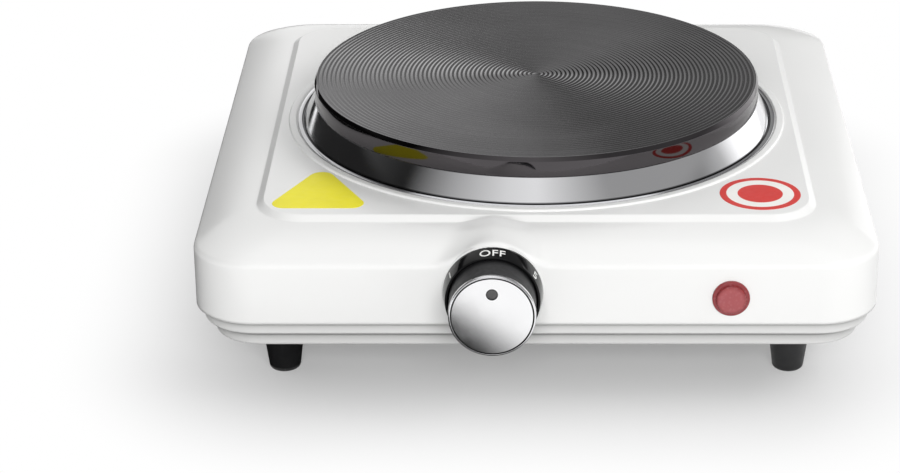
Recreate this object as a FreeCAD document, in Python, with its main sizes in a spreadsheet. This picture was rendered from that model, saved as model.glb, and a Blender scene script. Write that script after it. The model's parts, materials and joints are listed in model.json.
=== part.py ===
import FreeCAD, Part
import math
import os
import re
import Sketcher

# A single cast-iron hot plate on a drawn sheet-steel body, with its thermostat and wiring.
# Origin: middle of the bounding box on the table top. +Z up, the knob faces -Y.

V = FreeCAD.Vector
UPRIGHT = FreeCAD.Rotation()
TO_FRONT = FreeCAD.Rotation(V(1, 0, 0), 90)      # local +Z points to the front, -Y
TO_REAR = FreeCAD.Rotation(V(1, 0, 0), -90)      # local +Z points to the rear, +Y
UPSIDE_DOWN = FreeCAD.Rotation(V(1, 0, 0), 180)

# Driving sizes in millimetres. "reach" and "back" sizes on the knob's and the lamp's axes are
# measured from the outer face of the front wall.
SIZES = {
    # heights, from the table up
    "foot_tall": 16.5, "band_tall": 5.3, "band_show": 5.0, "pan_lap": 4.2, "wall_tall": 22.8,
    "frame_rise": 3.7, "step_rise": 1.7, "ledge_drop": 0.2, "plate_stand": 15.0,
    # top housing, outwards from the plate
    "sheet": 1.0, "bead_wide": 3.0, "bead_high": 0.65, "margin_side": 2.3, "margin_front": 2.0,
    "step_run": 2.3, "frame_side": 19.0, "frame_front": 20.8, "body_round": 20.0,
    "step_round": 16.0, "panel_round": 14.0, "edge_round": 4.0, "blend_radius": 22.0,
    "crease_round": 4.0, "turret_half": 30.0, "turret_deep": 6.0,
    # base pan and feet
    "pan_gap": 1.5, "band_step": 3.3, "pan_edge": 1.2, "vent_long": 42.0, "vent_wide": 4.0,
    "vent_pitch": 11.0, "vent_bridge": 13.0, "foot_side": 21.7, "foot_front": 18.2,
    "foot_tip": 5.0, "foot_mid": 6.4, "foot_top": 7.4, "foot_neck": 5.8, "foot_soft": 1.4,
    "foot_bite": 9.5,
    # hot plate
    "plate_radius": 77.5, "plate_edge": 7.0, "plate_thick": 12.0, "plate_bevel": 0.8,
    "skirt_in": 2.3, "channel_deep": 6.0, "channel_half": 4.5, "coil_half": 1.75,
    "coil_tall": 3.5, "coil_in": 22.0, "coil_margin": 14.2,
    # trim ring
    "lip_gap": 0.4, "lip_proud": 0.7, "ring_flare": 1.7, "ring_flange_wide": 3.8,
    "ring_sheet": 0.6, "ring_gap": 0.2,
    # clamp under the plate
    "cover_margin": 5.2, "cover_sheet": 0.8, "shield_sheet": 0.6, "shield_flat": 30.0,
    "shield_margin": 4.0, "shield_rise": 4.0, "ledge_wide": 9.9, "strap_drop": 7.8,
    "strap_sheet": 1.5, "strap_wide": 16.0, "strap_hold": 8.0, "strap_bend_gap": 2.0,
    "strap_slope": 8.0, "stud_radius": 3.0, "stud_past": 2.3, "stud_grip": 7.0,
    "nut_flats": 10.0, "nut_tall": 4.0, "washer_tall": 1.2, "washer_radius": 6.0,
    # plate terminals
    "pin_radius": 1.2, "pin_clear": 1.0, "pin_gap": 11.0, "insulator_side": 6.0, "insulator_deep": 12.0,
    "insulator_tall": 8.0, "tab_wide": 6.3, "tab_sheet": 0.8, "tab_drop": 13.2, "tab_bite": 2.8,
    # knob and dial
    "knob_x": -13.8, "knob_rise": 11.2, "crest_gap": 0.2, "seat_gap": 0.3, "bezel_gap": 0.5,
    "knob_reach": 18.0, "knob_radius": 13.8, "knob_back": 4.0, "cap_sheet": 0.4,
    "cap_face": 0.8, "cap_rim": 1.8, "cap_soft": 0.5, "skirt_wall": 1.8, "hub_radius": 5.5,
    "web_back": 13.6, "dot_radius": 1.6, "dot_rise": 7.6, "dot_sunk": 0.1, "seat_high": 0.3,
    "knob_gap": 0.5, "bezel_lip": 0.8, "bezel_reach": 6.6, "bezel_sheet": 1.0,
    # thermostat
    "shaft_radius": 3.0, "shaft_front": 15.4, "shaft_back": 12.0, "shaft_flat": 2.2,
    "flat_from": 4.6, "bush_radius": 5.0, "bush_front": 3.2, "bush_back": 9.0,
    "bush_flange": 6.4, "flange_thick": 2.0, "clip_radius": 5.0, "clip_thick": 0.8,
    "pin_sunk": 3.0, "pin_proud": 0.4, "frame_sheet": 1.2, "frame_clear": 0.7,
    "frame_lap": 6.0, "frame_foot": 10.0, "screw_offset": 9.5, "stack_offset": 20.0,
    "stack_radius": 5.0, "stack_screw": 1.8, "stack_first": 10.8, "stack_second": 3.6,
    "stack_third": 3.2, "stack_last": 3.0, "blade_sheet": 0.4, "blade_wide": 7.0,
    "blade_past": 8.0, "bimetal_sheet": 0.8, "bimetal_wide": 9.0, "bimetal_past": 10.0,
    "button_radius": 2.0, "button_tall": 1.3, "button_offset": 4.8, "tail_wide": 5.0,
    "tail_drop": 3.0,
    # pilot lamp
    "lamp_inset": 48.7, "lamp_rise": 9.4, "lamp_flange": 6.0, "lamp_flange_thick": 1.2,
    "lamp_dome": 4.6, "lamp_reach": 2.5, "lamp_barrel": 4.4, "lamp_back": 8.0,
    "lamp_wall": 1.0, "bulb_radius": 2.8, "bulb_long": 14.0, "holder_wall": 1.2,
    "holder_back": 18.0, "holder_floor": 3.0, "holder_lap": 3.0, "lamp_clip_out": 8.0,
    # mains entry and wiring
    "gland_inset": 50.5, "gland_rise": 7.5, "gland_reach": 2.5, "gland_flange": 6.5,
    "gland_neck": 5.0, "gland_bore": 3.6, "gland_lip": 2.0, "gland_soft": 0.8,
    "block_inset": 34.75, "block_side": 6.0, "block_deep": 16.0, "block_tall": 15.0,
    "pole_pitch": 10.0, "pole_radius": 2.6, "pole_rise": 9.5, "earth_inset": 40.0,
    "wire_radius": 1.1, "wire_grip": 4.0, "lamp_wire": 0.7, "lamp_wire_gap": 1.5,
    "lamp_wire_rise": 1.3, "bend_radius": 5.0, "bend_tight": 3.0,
    # fasteners and fits
    "screw_radius": 2.0, "head_radius": 3.6, "head_tall": 2.2, "small_screw": 1.5,
    "small_head": 2.8, "small_tall": 1.8, "screw_past": 3.0, "screw_short": 1.0, "bracket_wide": 20.0,
    "bracket_sheet": 1.2, "bracket_y": 60.0, "bracket_inset": 11.7, "bracket_tab": 17.0,
    "bracket_gap": 1.0, "bracket_top": 8.0, "run_gap": 0.05, "hole_gap": 0.3, "overrun": 1.0,
}

# Sizes and places that follow from the driving ones, as expressions in their names.
PLACES = {
    # heights
    "pan_low": "foot_tall",
    "floor_top": "pan_low + sheet",
    "pan_mid": "pan_low + band_tall",
    "rim_low": "pan_mid + band_show",
    "pan_high": "rim_low + pan_lap",
    "shoulder": "rim_low + wall_tall",
    "step_low": "shoulder + frame_rise",
    "panel_top": "step_low + step_rise",
    "ledge_top": "panel_top - ledge_drop",
    "plate_top": "panel_top + plate_stand",
    "plate_skirt": "plate_top - plate_edge",
    "plate_under": "plate_top - plate_thick",
    "channel_roof": "plate_under + channel_deep",
    "cover_low": "plate_under - cover_sheet",
    "tile_low": "cover_low - insulator_tall",
    "tab_low": "tile_low - tab_drop",
    "strap_top": "ledge_top - sheet - strap_drop",
    "washer_low": "strap_top - strap_sheet - washer_tall",
    "clamp_low": "washer_low - nut_tall",
    "stud_low": "clamp_low - stud_past",
    "knob_z": "rim_low + knob_rise",
    "lamp_z": "rim_low + lamp_rise",
    "gland_z": "pan_high + gland_rise",
    "wire_z": "floor_top + pole_rise",
    "tail_low": "wire_z - tail_drop",
    "lamp_wire_z": "lamp_z + lamp_wire_rise",
    # radii about the plate's axis
    "skirt_radius": "plate_radius - skirt_in",
    "lip_in": "skirt_radius + lip_gap",
    "lip_out": "plate_radius + lip_proud",
    "ring_foot": "lip_out + ring_flare",
    "ring_flange": "ring_foot + ring_flange_wide",
    "bead_in": "ring_flange + ring_gap",
    "bead_out": "bead_in + bead_wide",
    "ledge_hole": "bead_in - ledge_wide",
    "coil_out": "skirt_radius - coil_margin",
    "coil_mid": "(coil_in + coil_out) / 2",
    "cover_radius": "skirt_radius - cover_margin",
    "shield_radius": "cover_radius - shield_margin",
    "strap_bend": "ledge_hole + strap_bend_gap",
    "strap_half": "ledge_hole + strap_hold",
    "strap_flat": "strap_bend - strap_slope",
    # plan of the housing and the pan
    "panel_wide": "2 * (bead_out + margin_side)",
    "panel_deep": "2 * (bead_out + margin_front)",
    "step_wide": "panel_wide + 2 * step_run",
    "step_deep": "panel_deep + 2 * step_run",
    "body_wide": "step_wide + 2 * frame_side",
    "body_deep": "step_deep + 2 * frame_front",
    "pan_wide": "body_wide - 2 * (sheet + pan_gap)",
    "pan_deep": "body_deep - 2 * (sheet + pan_gap)",
    "pan_round": "body_round - sheet - pan_gap",
    "floor_wide": "pan_wide - 2 * band_step",
    "floor_deep": "pan_deep - 2 * band_step",
    "floor_round": "pan_round - band_step / 2",
    "plate_y": "(knob_reach - gland_reach) / 2",
    "front_y": "plate_y - body_deep / 2",
    "rear_y": "plate_y + body_deep / 2",
    "lamp_x": "body_wide / 2 - lamp_inset",
    "gland_x": "gland_inset - body_wide / 2",
    "foot_x": "floor_wide / 2 - foot_side",
    "foot_y": "floor_deep / 2 - foot_front",
    "bracket_x": "floor_wide / 2 - bracket_inset",
    "block_y": "rear_y - block_inset",
    "block_wide": "2 * (pole_pitch + block_side)",
    "earth_y": "block_y - earth_inset",
    # knob, dial and thermostat
    "crest_radius": "panel_top - knob_z - crest_gap",
    "seat_radius": "crest_radius - seat_gap",
    "bezel_base": "seat_radius - bezel_gap",
    "bezel_bore": "knob_radius + knob_gap",
    "bezel_tip": "bezel_bore + bezel_lip",
    "skin_radius": "knob_radius - cap_sheet",
    "cap_back": "knob_reach - cap_rim",
    "skirt_in_radius": "knob_radius - skirt_wall",
    "wall_in": "sheet + frame_sheet",
    "frame_low": "pan_high + hole_gap",
    "frame_tall": "shoulder - edge_round - frame_clear - frame_low",
    "stack_x": "knob_x - stack_offset",
    "blade_one": "wall_in + stack_first",
    "blade_two": "blade_one + blade_sheet + stack_second",
    "bimetal_at": "blade_two + blade_sheet + stack_third",
    "stack_end": "bimetal_at + bimetal_sheet + stack_last",
    "tail_front_x": "stack_x - tail_wide / 2",
    "tail_rear_x": "stack_x + stack_radius",
    # plate terminals
    "pin_y": "plate_y - sqrt(coil_mid ^ 2 - pin_gap ^ 2)",
    "insulator_wide": "2 * (pin_gap + insulator_side)",
    "tab_tall": "tab_drop + tab_bite",
    "lead_aside": "tab_wide * 0.3",
}

doc = FreeCAD.newDocument("hot_plate_burner")
dim = doc.addObject("Spreadsheet::Sheet", "dim")
for row, (name, value) in enumerate(SIZES.items(), 1):
    dim.set(f"A{row}", name)
    dim.set(f"B{row}", str(value))
    dim.setAlias(f"B{row}", name)
doc.recompute()


# ---------------------------------------------------------------- helpers

def full(text):
    """Expand named places and point named sizes at their spreadsheet cells."""
    def swap(match):
        word = match.group(0)
        if word in PLACES:
            return "(" + full(PLACES[word]) + ")"
        return "dim." + word if word in SIZES else word
    return re.sub(r"[a-z]+(?:_[a-z]+)*", swap, str(text))


def val(text):
    """The present value of an expression, for first guesses and for picking edges."""
    return float(dim.evalExpression(full(text)))


def bind(obj, prop, text):
    obj.setExpression(prop, full(text))


def place(obj, at, turn=UPRIGHT):
    obj.Placement = FreeCAD.Placement(V(*[val(c) for c in at]), turn)
    for axis, text in zip("xyz", at):
        bind(obj, "Placement.Base." + axis, text)
    return obj


def forward(x, z, reach=0):
    """A point on an axis that stands out of the front wall, by its reach from that wall."""
    return (x, f"front_y - ({reach})", z)


def new_sketch(body, name, role, level=0):
    sk = body.newObject("Sketcher::SketchObject", name)
    plane = next(f for f in body.Origin.OriginFeatures if f.Role == role)
    sk.AttachmentSupport = [(plane, "")]
    sk.MapMode = "FlatFace"
    bind(sk, "AttachmentOffset.Base.z", level)
    return sk


def outline(body, name, role, points, level=0):
    """A closed polygon sketch whose corners are bound to expressions."""
    sk = new_sketch(body, name, role, level)
    spots = [V(val(x), val(y), 0) for x, y in points]
    count = len(spots)
    for i in range(count):
        sk.addGeometry(Part.LineSegment(spots[i], spots[(i + 1) % count]), False)
    for i in range(count):
        sk.addConstraint(Sketcher.Constraint("Coincident", i, 2, (i + 1) % count, 1))
    for i, (x, y) in enumerate(points):
        for kind, text, here in (("DistanceX", x, spots[i].x), ("DistanceY", y, spots[i].y)):
            c = sk.addConstraint(Sketcher.Constraint(kind, i, 1, here))
            sk.setExpression(f"Constraints[{c}]", full(text))
    return sk


def rounded(body, name, wide, deep, corner, level):
    """A rounded rectangle sketch, centred on the body's own Z axis."""
    sk = new_sketch(body, name, "XY_Plane", level)
    w, d, r = val(wide) / 2, val(deep) / 2, val(corner)
    middles = [V(w - r, d - r, 0), V(r - w, d - r, 0), V(r - w, r - d, 0), V(w - r, r - d, 0)]
    arcs = []
    for i, middle in enumerate(middles):
        circle = Part.Circle(middle, V(0, 0, 1), r)
        arcs.append(Part.ArcOfCircle(circle, math.pi / 2 * i, math.pi / 2 * (i + 1)))
        sk.addGeometry(arcs[-1], False)
    for i in range(4):
        sk.addGeometry(Part.LineSegment(arcs[i].EndPoint, arcs[(i + 1) % 4].StartPoint), False)
    for i in range(4):
        sk.addConstraint(Sketcher.Constraint("Tangent", i, 2, 4 + i, 1))
        sk.addConstraint(Sketcher.Constraint("Tangent", 4 + i, 2, (i + 1) % 4, 1))
        sk.addConstraint(Sketcher.Constraint(("Horizontal", "Vertical")[i % 2], 4 + i))
    for i in (1, 2, 3):
        sk.addConstraint(Sketcher.Constraint("Equal", 0, i))
    sides = (("DistanceY", 4, d, f"({deep})/2"), ("DistanceX", 5, -w, f"-({wide})/2"),
             ("DistanceY", 6, -d, f"-({deep})/2"), ("DistanceX", 7, w, f"({wide})/2"))
    for kind, line, here, text in sides:
        c = sk.addConstraint(Sketcher.Constraint(kind, line, 1, here))
        sk.setExpression(f"Constraints[{c}]", full(text))
    c = sk.addConstraint(Sketcher.Constraint("Radius", 0, r))
    sk.setExpression(f"Constraints[{c}]", full(corner))
    return sk


def new_body(label, at=(0, 0, 0), turn=UPRIGHT):
    return place(doc.addObject("PartDesign::Body", label), at, turn)


def pad(body, sk, length, name):
    feature = body.newObject("PartDesign::Pad", name)
    feature.Profile = sk
    bind(feature, "Length", length)
    return feature


def pocket(body, sk, length, name):
    feature = body.newObject("PartDesign::Pocket", name)
    feature.Profile = sk
    bind(feature, "Length", length)
    return feature


def loft(body, first, last, name):
    feature = body.newObject("PartDesign::AdditiveLoft", name)
    feature.Profile = first
    feature.Sections = [last]
    feature.Ruled = True
    return feature


def soften(body, radius, name, test):
    """Fillet every edge of the body's tip that passes the test."""
    doc.recompute()
    base = body.Tip
    picked = [f"Edge{i}" for i, e in enumerate(base.Shape.Edges, 1) if test(e)]
    feature = body.newObject("PartDesign::Fillet", name)
    feature.Base = (base, picked)
    bind(feature, "Radius", radius)
    return feature


def turned(label, points, at=(0, 0, 0), turn=UPRIGHT, angle=360):
    """A body turned about its own Z axis from (radius, height) corners."""
    body = new_body(label, at, turn)
    sk = outline(body, label + "_profile", "XZ_Plane", points)
    feature = body.newObject("PartDesign::Revolution", label + "_turned")
    feature.Profile = sk
    feature.ReferenceAxis = (sk, ["V_Axis"])
    feature.Angle = angle
    return body


def block(label, size, at):
    """A box by its size, and the middle of its underside."""
    box = doc.addObject("Part::Box", label)
    for prop, text in zip(("Length", "Width", "Height"), size):
        bind(box, prop, text)
    x, y, z = at
    return place(box, (f"{x} - ({size[0]})/2", f"{y} - ({size[1]})/2", z))


def rod(label, radius, length, at, turn=UPRIGHT):
    cylinder = doc.addObject("Part::Cylinder", label)
    bind(cylinder, "Radius", radius)
    bind(cylinder, "Height", length)
    return place(cylinder, at, turn)


def group(label, shapes):
    compound = doc.addObject("Part::Compound", label)
    compound.Links = list(shapes)
    return compound


def cut(label, base, *tools):
    result = doc.addObject("Part::Cut", label)
    result.Base = base
    result.Tool = tools[0] if len(tools) == 1 else group(label + "_holes", tools)
    return result


def join(label, *shapes):
    fusion = doc.addObject("Part::MultiFuse", label)
    fusion.Shapes = list(shapes)
    fusion.Refine = True
    return fusion


def washer(label, outer, bore, thick, at, turn=UPRIGHT):
    return turned(label, [(bore, 0), (outer, 0), (outer, thick), (bore, thick)], at, turn)


def nut(label, at):
    prism = doc.addObject("Part::Prism", label + "_hex")
    prism.Polygon = 6
    bind(prism, "Circumradius", "nut_flats / sqrt(3)")
    bind(prism, "Height", "nut_tall")
    place(prism, at)
    x, y, z = at
    bore = rod(label + "_bore", "stud_radius + run_gap", "nut_tall + 2 * overrun",
               (x, y, f"{z} - overrun"))
    return cut(label, prism, bore)


def screw(label, radius, length, head, tall, at, turn=UPRIGHT):
    """A pan-head screw: the head stands on the local XY plane, the shank goes down."""
    points = [(0, f"-({length})"), (radius, f"-({length})"), (radius, 0), (head, 0),
              (head, f"{tall} * 0.55"), (f"{head} * 0.7", tall), (0, tall)]
    return turned(label, points, at, turn)


def lead(label, radius, points, bend="bend_radius"):
    """A round wire along straight runs, joined by tangent arcs."""
    spots = [V(*[val(c) for c in p]) for p in points]
    r = val(bend)
    edges = []
    start = spots[0]
    for before, corner, after in zip(spots, spots[1:], spots[2:]):
        back = (before - corner).normalize()
        ahead = (after - corner).normalize()
        half = back.getAngle(ahead) / 2
        reach = r / math.tan(half)
        first, last = corner + back * reach, corner + ahead * reach
        middle = corner + (back + ahead).normalize() * (r / math.sin(half) - r)
        edges.append(Part.makeLine(start, first))
        edges.append(Part.Arc(first, middle, last).toShape())
        start = last
    edges.append(Part.makeLine(start, spots[-1]))
    route = doc.addObject("Part::Feature", label + "_route")
    route.Shape = Part.Wire(edges)
    section = doc.addObject("Part::Circle", label + "_section")
    bind(section, "Radius", radius)
    section.Placement = FreeCAD.Placement(
        spots[0], FreeCAD.Rotation(V(0, 0, 1), spots[1] - spots[0]))
    sweep = doc.addObject("Part::Sweep", label)
    sweep.Sections = [section]
    sweep.Spine = (route, [])
    sweep.Solid = True
    sweep.Frenet = False
    return sweep


# ---------------------------------------------------------------- top housing

def bell(body, name, inset):
    """The turret's section: an arch round the knob's axis that flows into the shoulder."""
    flat, low_text = f"shoulder - {inset}", "shoulder - turret_deep - edge_round"
    small, large = f"crest_radius - {inset}", f"blend_radius + {inset}"
    sk = new_sketch(body, name, "XZ_Plane", f"body_deep / 2 - {inset}")
    ra, rc, zs = val(small), val(large), val(flat)
    kx, kz, low, half = val("knob_x"), val("knob_z"), val(low_text), val("turret_half")
    dz = zs + rc - kz
    dx = math.sqrt((ra + rc) ** 2 - dz ** 2)
    lean = math.atan2(dz, dx)
    arch = Part.ArcOfCircle(Part.Circle(V(kx, kz, 0), V(0, 0, 1), ra), lean, math.pi - lean)
    right = Part.ArcOfCircle(Part.Circle(V(kx + dx, zs + rc, 0), V(0, 0, 1), rc),
                             math.pi + lean, 1.5 * math.pi)
    left = Part.ArcOfCircle(Part.Circle(V(kx - dx, zs + rc, 0), V(0, 0, 1), rc),
                            1.5 * math.pi, 2 * math.pi - lean)
    corners = [V(kx - half, zs, 0), V(kx - half, low, 0), V(kx + half, low, 0),
               V(kx + half, zs, 0)]
    for curve in (arch, left, right):
        sk.addGeometry(curve, False)
    runs = [(left.StartPoint, corners[0]), (corners[0], corners[1]), (corners[1], corners[2]),
            (corners[2], corners[3]), (corners[3], right.EndPoint)]
    for a, b in runs:
        sk.addGeometry(Part.LineSegment(a, b), False)
    joins = [("Tangent", 0, 2, 1, 2), ("Tangent", 0, 1, 2, 1), ("Tangent", 1, 1, 3, 1),
             ("Coincident", 3, 2, 4, 1), ("Coincident", 4, 2, 5, 1), ("Coincident", 5, 2, 6, 1),
             ("Coincident", 6, 2, 7, 1), ("Tangent", 7, 2, 2, 2), ("Equal", 1, 2),
             ("Horizontal", 3), ("Vertical", 4), ("Horizontal", 5), ("Vertical", 6),
             ("Horizontal", 7)]
    for item in joins:
        sk.addConstraint(Sketcher.Constraint(*item))
    sized = [("DistanceX", (0, 3), kx, "knob_x"), ("DistanceY", (0, 3), kz, "knob_z"),
             ("Radius", (0,), ra, small), ("Radius", (1,), rc, large),
             ("DistanceY", (3, 2), zs, flat),
             ("DistanceX", (3, 2), kx - half, "knob_x - turret_half"),
             ("DistanceY", (5, 1), low, low_text),
             ("DistanceX", (5, 2), kx + half, "knob_x + turret_half")]
    for kind, where, here, text in sized:
        c = sk.addConstraint(Sketcher.Constraint(kind, *where, here))
        sk.setExpression(f"Constraints[{c}]", full(text))
    return sk


def housing_form(label, inset, low):
    """The pressed form of the housing, made once for its outside and once for its inside."""
    body = new_body(label, (0, "plate_y", 0))
    flat, front = f"shoulder - {inset}", f"body_deep / 2 - {inset}"
    rim = rounded(body, label + "_rim", f"body_wide - 2 * {inset}", f"body_deep - 2 * {inset}",
                  f"body_round - {inset}", low)
    pad(body, rim, f"{flat} - ({low})", label + "_walls")
    edge = rounded(body, label + "_edge", f"body_wide - 2 * {inset}", f"body_deep - 2 * {inset}",
                   f"body_round - {inset}", flat)
    foot = rounded(body, label + "_foot", f"step_wide - {inset}", f"step_deep - {inset}",
                   f"step_round - {inset} / 2", f"step_low - {inset}")
    loft(body, edge, foot, label + "_slope")
    foot_again = rounded(body, label + "_foot_again", f"step_wide - {inset}",
                         f"step_deep - {inset}", f"step_round - {inset} / 2",
                         f"step_low - {inset}")
    top = rounded(body, label + "_top", f"panel_wide - {inset}", f"panel_deep - {inset}",
                  f"panel_round - {inset} / 2", f"panel_top - {inset}")
    loft(body, foot_again, top, label + "_step")
    arch = bell(body, label + "_arch", inset)
    turret = pad(body, arch, "(body_deep - panel_deep) / 2 + overrun", label + "_turret")
    turret.Reversed = True

    wall, high = -val(front), val(flat)
    kx, panel = val("knob_x"), -val(f"(step_deep - {inset}) / 2")

    def in_crease(edge):
        box, middle = edge.BoundBox, edge.CenterOfMass
        deep = box.YMax - box.YMin
        back = deep > val("edge_round") / 2 and wall - 0.01 < box.YMin and box.YMax < panel + 2.5
        low = high - 0.01 < box.ZMin and box.ZMax < high + val("frame_rise") + 0.2
        return back and low and abs(middle.x - kx) < val("turret_half")

    def at_shoulder(edge):
        box = edge.BoundBox
        on_wall = abs(box.YMin - wall) < 1e-3 and abs(box.YMax - wall) < 1e-3
        level = abs(box.ZMin - high) < 1e-3 and abs(box.ZMax - high) < 1e-3
        return box.ZMin > high - 0.01 and (on_wall or level)

    soften(body, "crease_round", label + "_crease", in_crease)
    soften(body, f"edge_round - {inset}", label + "_shoulder", at_shoulder)
    return body


outside = housing_form("housing_outside", 0, "rim_low")
inside = housing_form("housing_inside", "sheet", "rim_low - overrun")
lowered = outline(inside, "housing_inside_ledge", "XZ_Plane",
                  [(0, "ledge_top - sheet"), ("bead_in + sheet", "ledge_top - sheet"),
                   ("bead_in + sheet", "panel_top + overrun"), (0, "panel_top + overrun")])
groove = inside.newObject("PartDesign::Groove", "housing_inside_lowered")
groove.Profile = lowered
groove.ReferenceAxis = (lowered, ["V_Axis"])
bead = outline(outside, "housing_bead_profile", "XZ_Plane",
               [("bead_in", "panel_top - sheet / 2"),
                ("bead_in + bead_wide * 0.07", "panel_top + bead_high * 0.75"),
                ("bead_in + bead_wide * 0.3", "panel_top + bead_high"),
                ("bead_out - bead_wide * 0.3", "panel_top + bead_high"),
                ("bead_out - bead_wide * 0.07", "panel_top + bead_high * 0.75"),
                ("bead_out", "panel_top - sheet / 2")])
ring = outside.newObject("PartDesign::Revolution", "housing_bead")
ring.Profile = bead
ring.ReferenceAxis = (bead, ["V_Axis"])
recess = outline(outside, "housing_ledge_profile", "XZ_Plane",
                 [(0, "ledge_top"), ("bead_in", "ledge_top"),
                  ("bead_in", "panel_top + overrun"), (0, "panel_top + overrun")])
ledge = outside.newObject("PartDesign::Groove", "housing_ledge")
ledge.Profile = recess
ledge.ReferenceAxis = (recess, ["V_Axis"])

seat = cut("housing_seat",
           rod("seat_disc", "seat_radius", "seat_high + sheet / 2",
               forward("knob_x", "knob_z", "-sheet / 2"), TO_FRONT),
           block("below_rim", ("3 * seat_radius", "3 * sheet", "seat_radius"),
                 ("knob_x", "front_y", "rim_low - seat_radius")))
skin = cut("housing_skin", join("housing_with_seat", outside, seat), inside)
screw_x = [f"knob_x + {s}screw_offset" for s in ("-", "")]
stack_at = ("stack_x", "knob_z")


def wall_hole(name, radius, x, z):
    return rod(name, radius, "wall_in + 2 * overrun", forward(x, z, "-wall_in - overrun"), TO_FRONT)


holes = [rod("plate_hole", "ledge_hole", "4 * sheet", (0, "plate_y", "ledge_top - 3 * sheet")),
         wall_hole("bush_hole", "bush_radius + hole_gap", "knob_x", "knob_z"),
         wall_hole("lamp_hole", "lamp_barrel + run_gap", "lamp_x", "lamp_z"),
         rod("gland_hole", "gland_neck + run_gap", "3 * sheet",
             ("gland_x", "rear_y - 2 * sheet", "gland_z"), TO_REAR)]
holes += [wall_hole(f"frame_hole_{i}", "small_screw + run_gap", x, "knob_z")
          for i, x in enumerate(screw_x)]
cut("top_housing", skin, *holes)

# ---------------------------------------------------------------- base pan and feet

pan = new_body("pan_form", (0, "plate_y", 0))
pad(pan, rounded(pan, "pan_floor_plan", "floor_wide", "floor_deep", "floor_round", "pan_low"),
    "pan_mid - pan_low", "pan_lower_band")
soften(pan, "pan_edge", "pan_lower_round", lambda e: e.BoundBox.ZMax < val("pan_low") + 0.01)
pad(pan, rounded(pan, "pan_wall_plan", "pan_wide", "pan_deep", "pan_round", "pan_mid"),
    "pan_high - pan_mid", "pan_upper_band")


def under_upper_band(edge):
    box, middle = edge.BoundBox, edge.CenterOfMass
    level = abs(box.ZMax - val("pan_mid")) < 0.01 and box.ZMin > val("pan_mid") - 0.01
    past_floor = max(abs(middle.x) - val("floor_wide") / 2, abs(middle.y) - val("floor_deep") / 2)
    return level and past_floor > 0.1


soften(pan, "pan_edge", "pan_upper_round", under_upper_band)
pocket(pan, rounded(pan, "pan_upper_room", "pan_wide - 2 * sheet", "pan_deep - 2 * sheet",
                    "pan_round - sheet", "pan_high"),
       "pan_high - pan_mid - sheet", "pan_upper_hollow")
pocket(pan, rounded(pan, "pan_lower_room", "floor_wide - 2 * sheet", "floor_deep - 2 * sheet",
                    "floor_round - sheet", "pan_mid + sheet"),
       "pan_mid - pan_low", "pan_lower_hollow")


def slot(body, name, x, y, long, wide, level):
    """A round-ended slot sketch, its length along X."""
    sk = new_sketch(body, name, "XY_Plane", level)
    mx, my, half, r = val(x), val(y), val(f"(({long}) - ({wide})) / 2"), val(f"({wide}) / 2")
    up = V(0, 0, 1)
    right = Part.ArcOfCircle(Part.Circle(V(mx + half, my, 0), up, r), -math.pi / 2, math.pi / 2)
    left = Part.ArcOfCircle(Part.Circle(V(mx - half, my, 0), up, r), math.pi / 2, 1.5 * math.pi)
    for curve in (right, Part.LineSegment(right.EndPoint, left.StartPoint), left,
                  Part.LineSegment(left.EndPoint, right.StartPoint)):
        sk.addGeometry(curve, False)
    for i in range(4):
        sk.addConstraint(Sketcher.Constraint("Tangent", i, 2, (i + 1) % 4, 1))
    sk.addConstraint(Sketcher.Constraint("Horizontal", 1))
    sized = [("Radius", (0,), r, f"({wide}) / 2"),
             ("DistanceX", (0, 3), mx + half, f"{x} + (({long}) - ({wide})) / 2"),
             ("DistanceX", (2, 3), mx - half, f"{x} - (({long}) - ({wide})) / 2"),
             ("DistanceY", (0, 3), my, y)]
    for kind, where, here, text in sized:
        c = sk.addConstraint(Sketcher.Constraint(kind, *where, here))
        sk.setExpression(f"Constraints[{c}]", full(text))
    return sk


for name, sign in (("left", "-"), ("right", "")):
    vent = slot(pan, f"vent_{name}_plan", f"{sign}(vent_long + vent_bridge) / 2", "-3 * vent_pitch",
                "vent_long", "vent_wide", "floor_top")
    opening = pocket(pan, vent, "2 * sheet", f"vent_{name}")
    row = pan.newObject("PartDesign::LinearPattern", f"vents_{name}")
    row.Originals = [opening]
    row.Direction = (vent, ["V_Axis"])
    row.Occurrences = 7
    bind(row, "Length", "6 * vent_pitch")
    pan.Tip = row


def floor_hole(name, radius, x, y):
    return rod(name, radius, "3 * sheet", (x, y, "pan_low - sheet"))


corners = [(f"{row}_{end}", f"{sx}foot_x", f"plate_y + {sy}foot_y")
           for row, sy in (("front", "-"), ("rear", "")) for end, sx in (("left", "-"), ("right", ""))]
tabs = [(sx, sy) for sx in ("-", "") for sy in ("-", "")]
big_hole, small_hole = "screw_radius + run_gap", "small_screw + run_gap"
floor_holes = [floor_hole(f"foot_hole_{n}", big_hole, x, y) for n, x, y in corners]
floor_holes += [floor_hole(f"bracket_hole_{i}", big_hole, f"{sx}bracket_x", f"plate_y + {sy}bracket_y")
                for i, (sx, sy) in enumerate(tabs)]
floor_holes += [floor_hole("earth_hole", big_hole, "gland_x", "earth_y")]
floor_holes += [floor_hole(f"block_hole_{i}", small_hole, f"gland_x + {s}pole_pitch / 2", "block_y")
                for i, s in enumerate(("-", ""))]
cut("base_pan", pan, *floor_holes)

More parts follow.
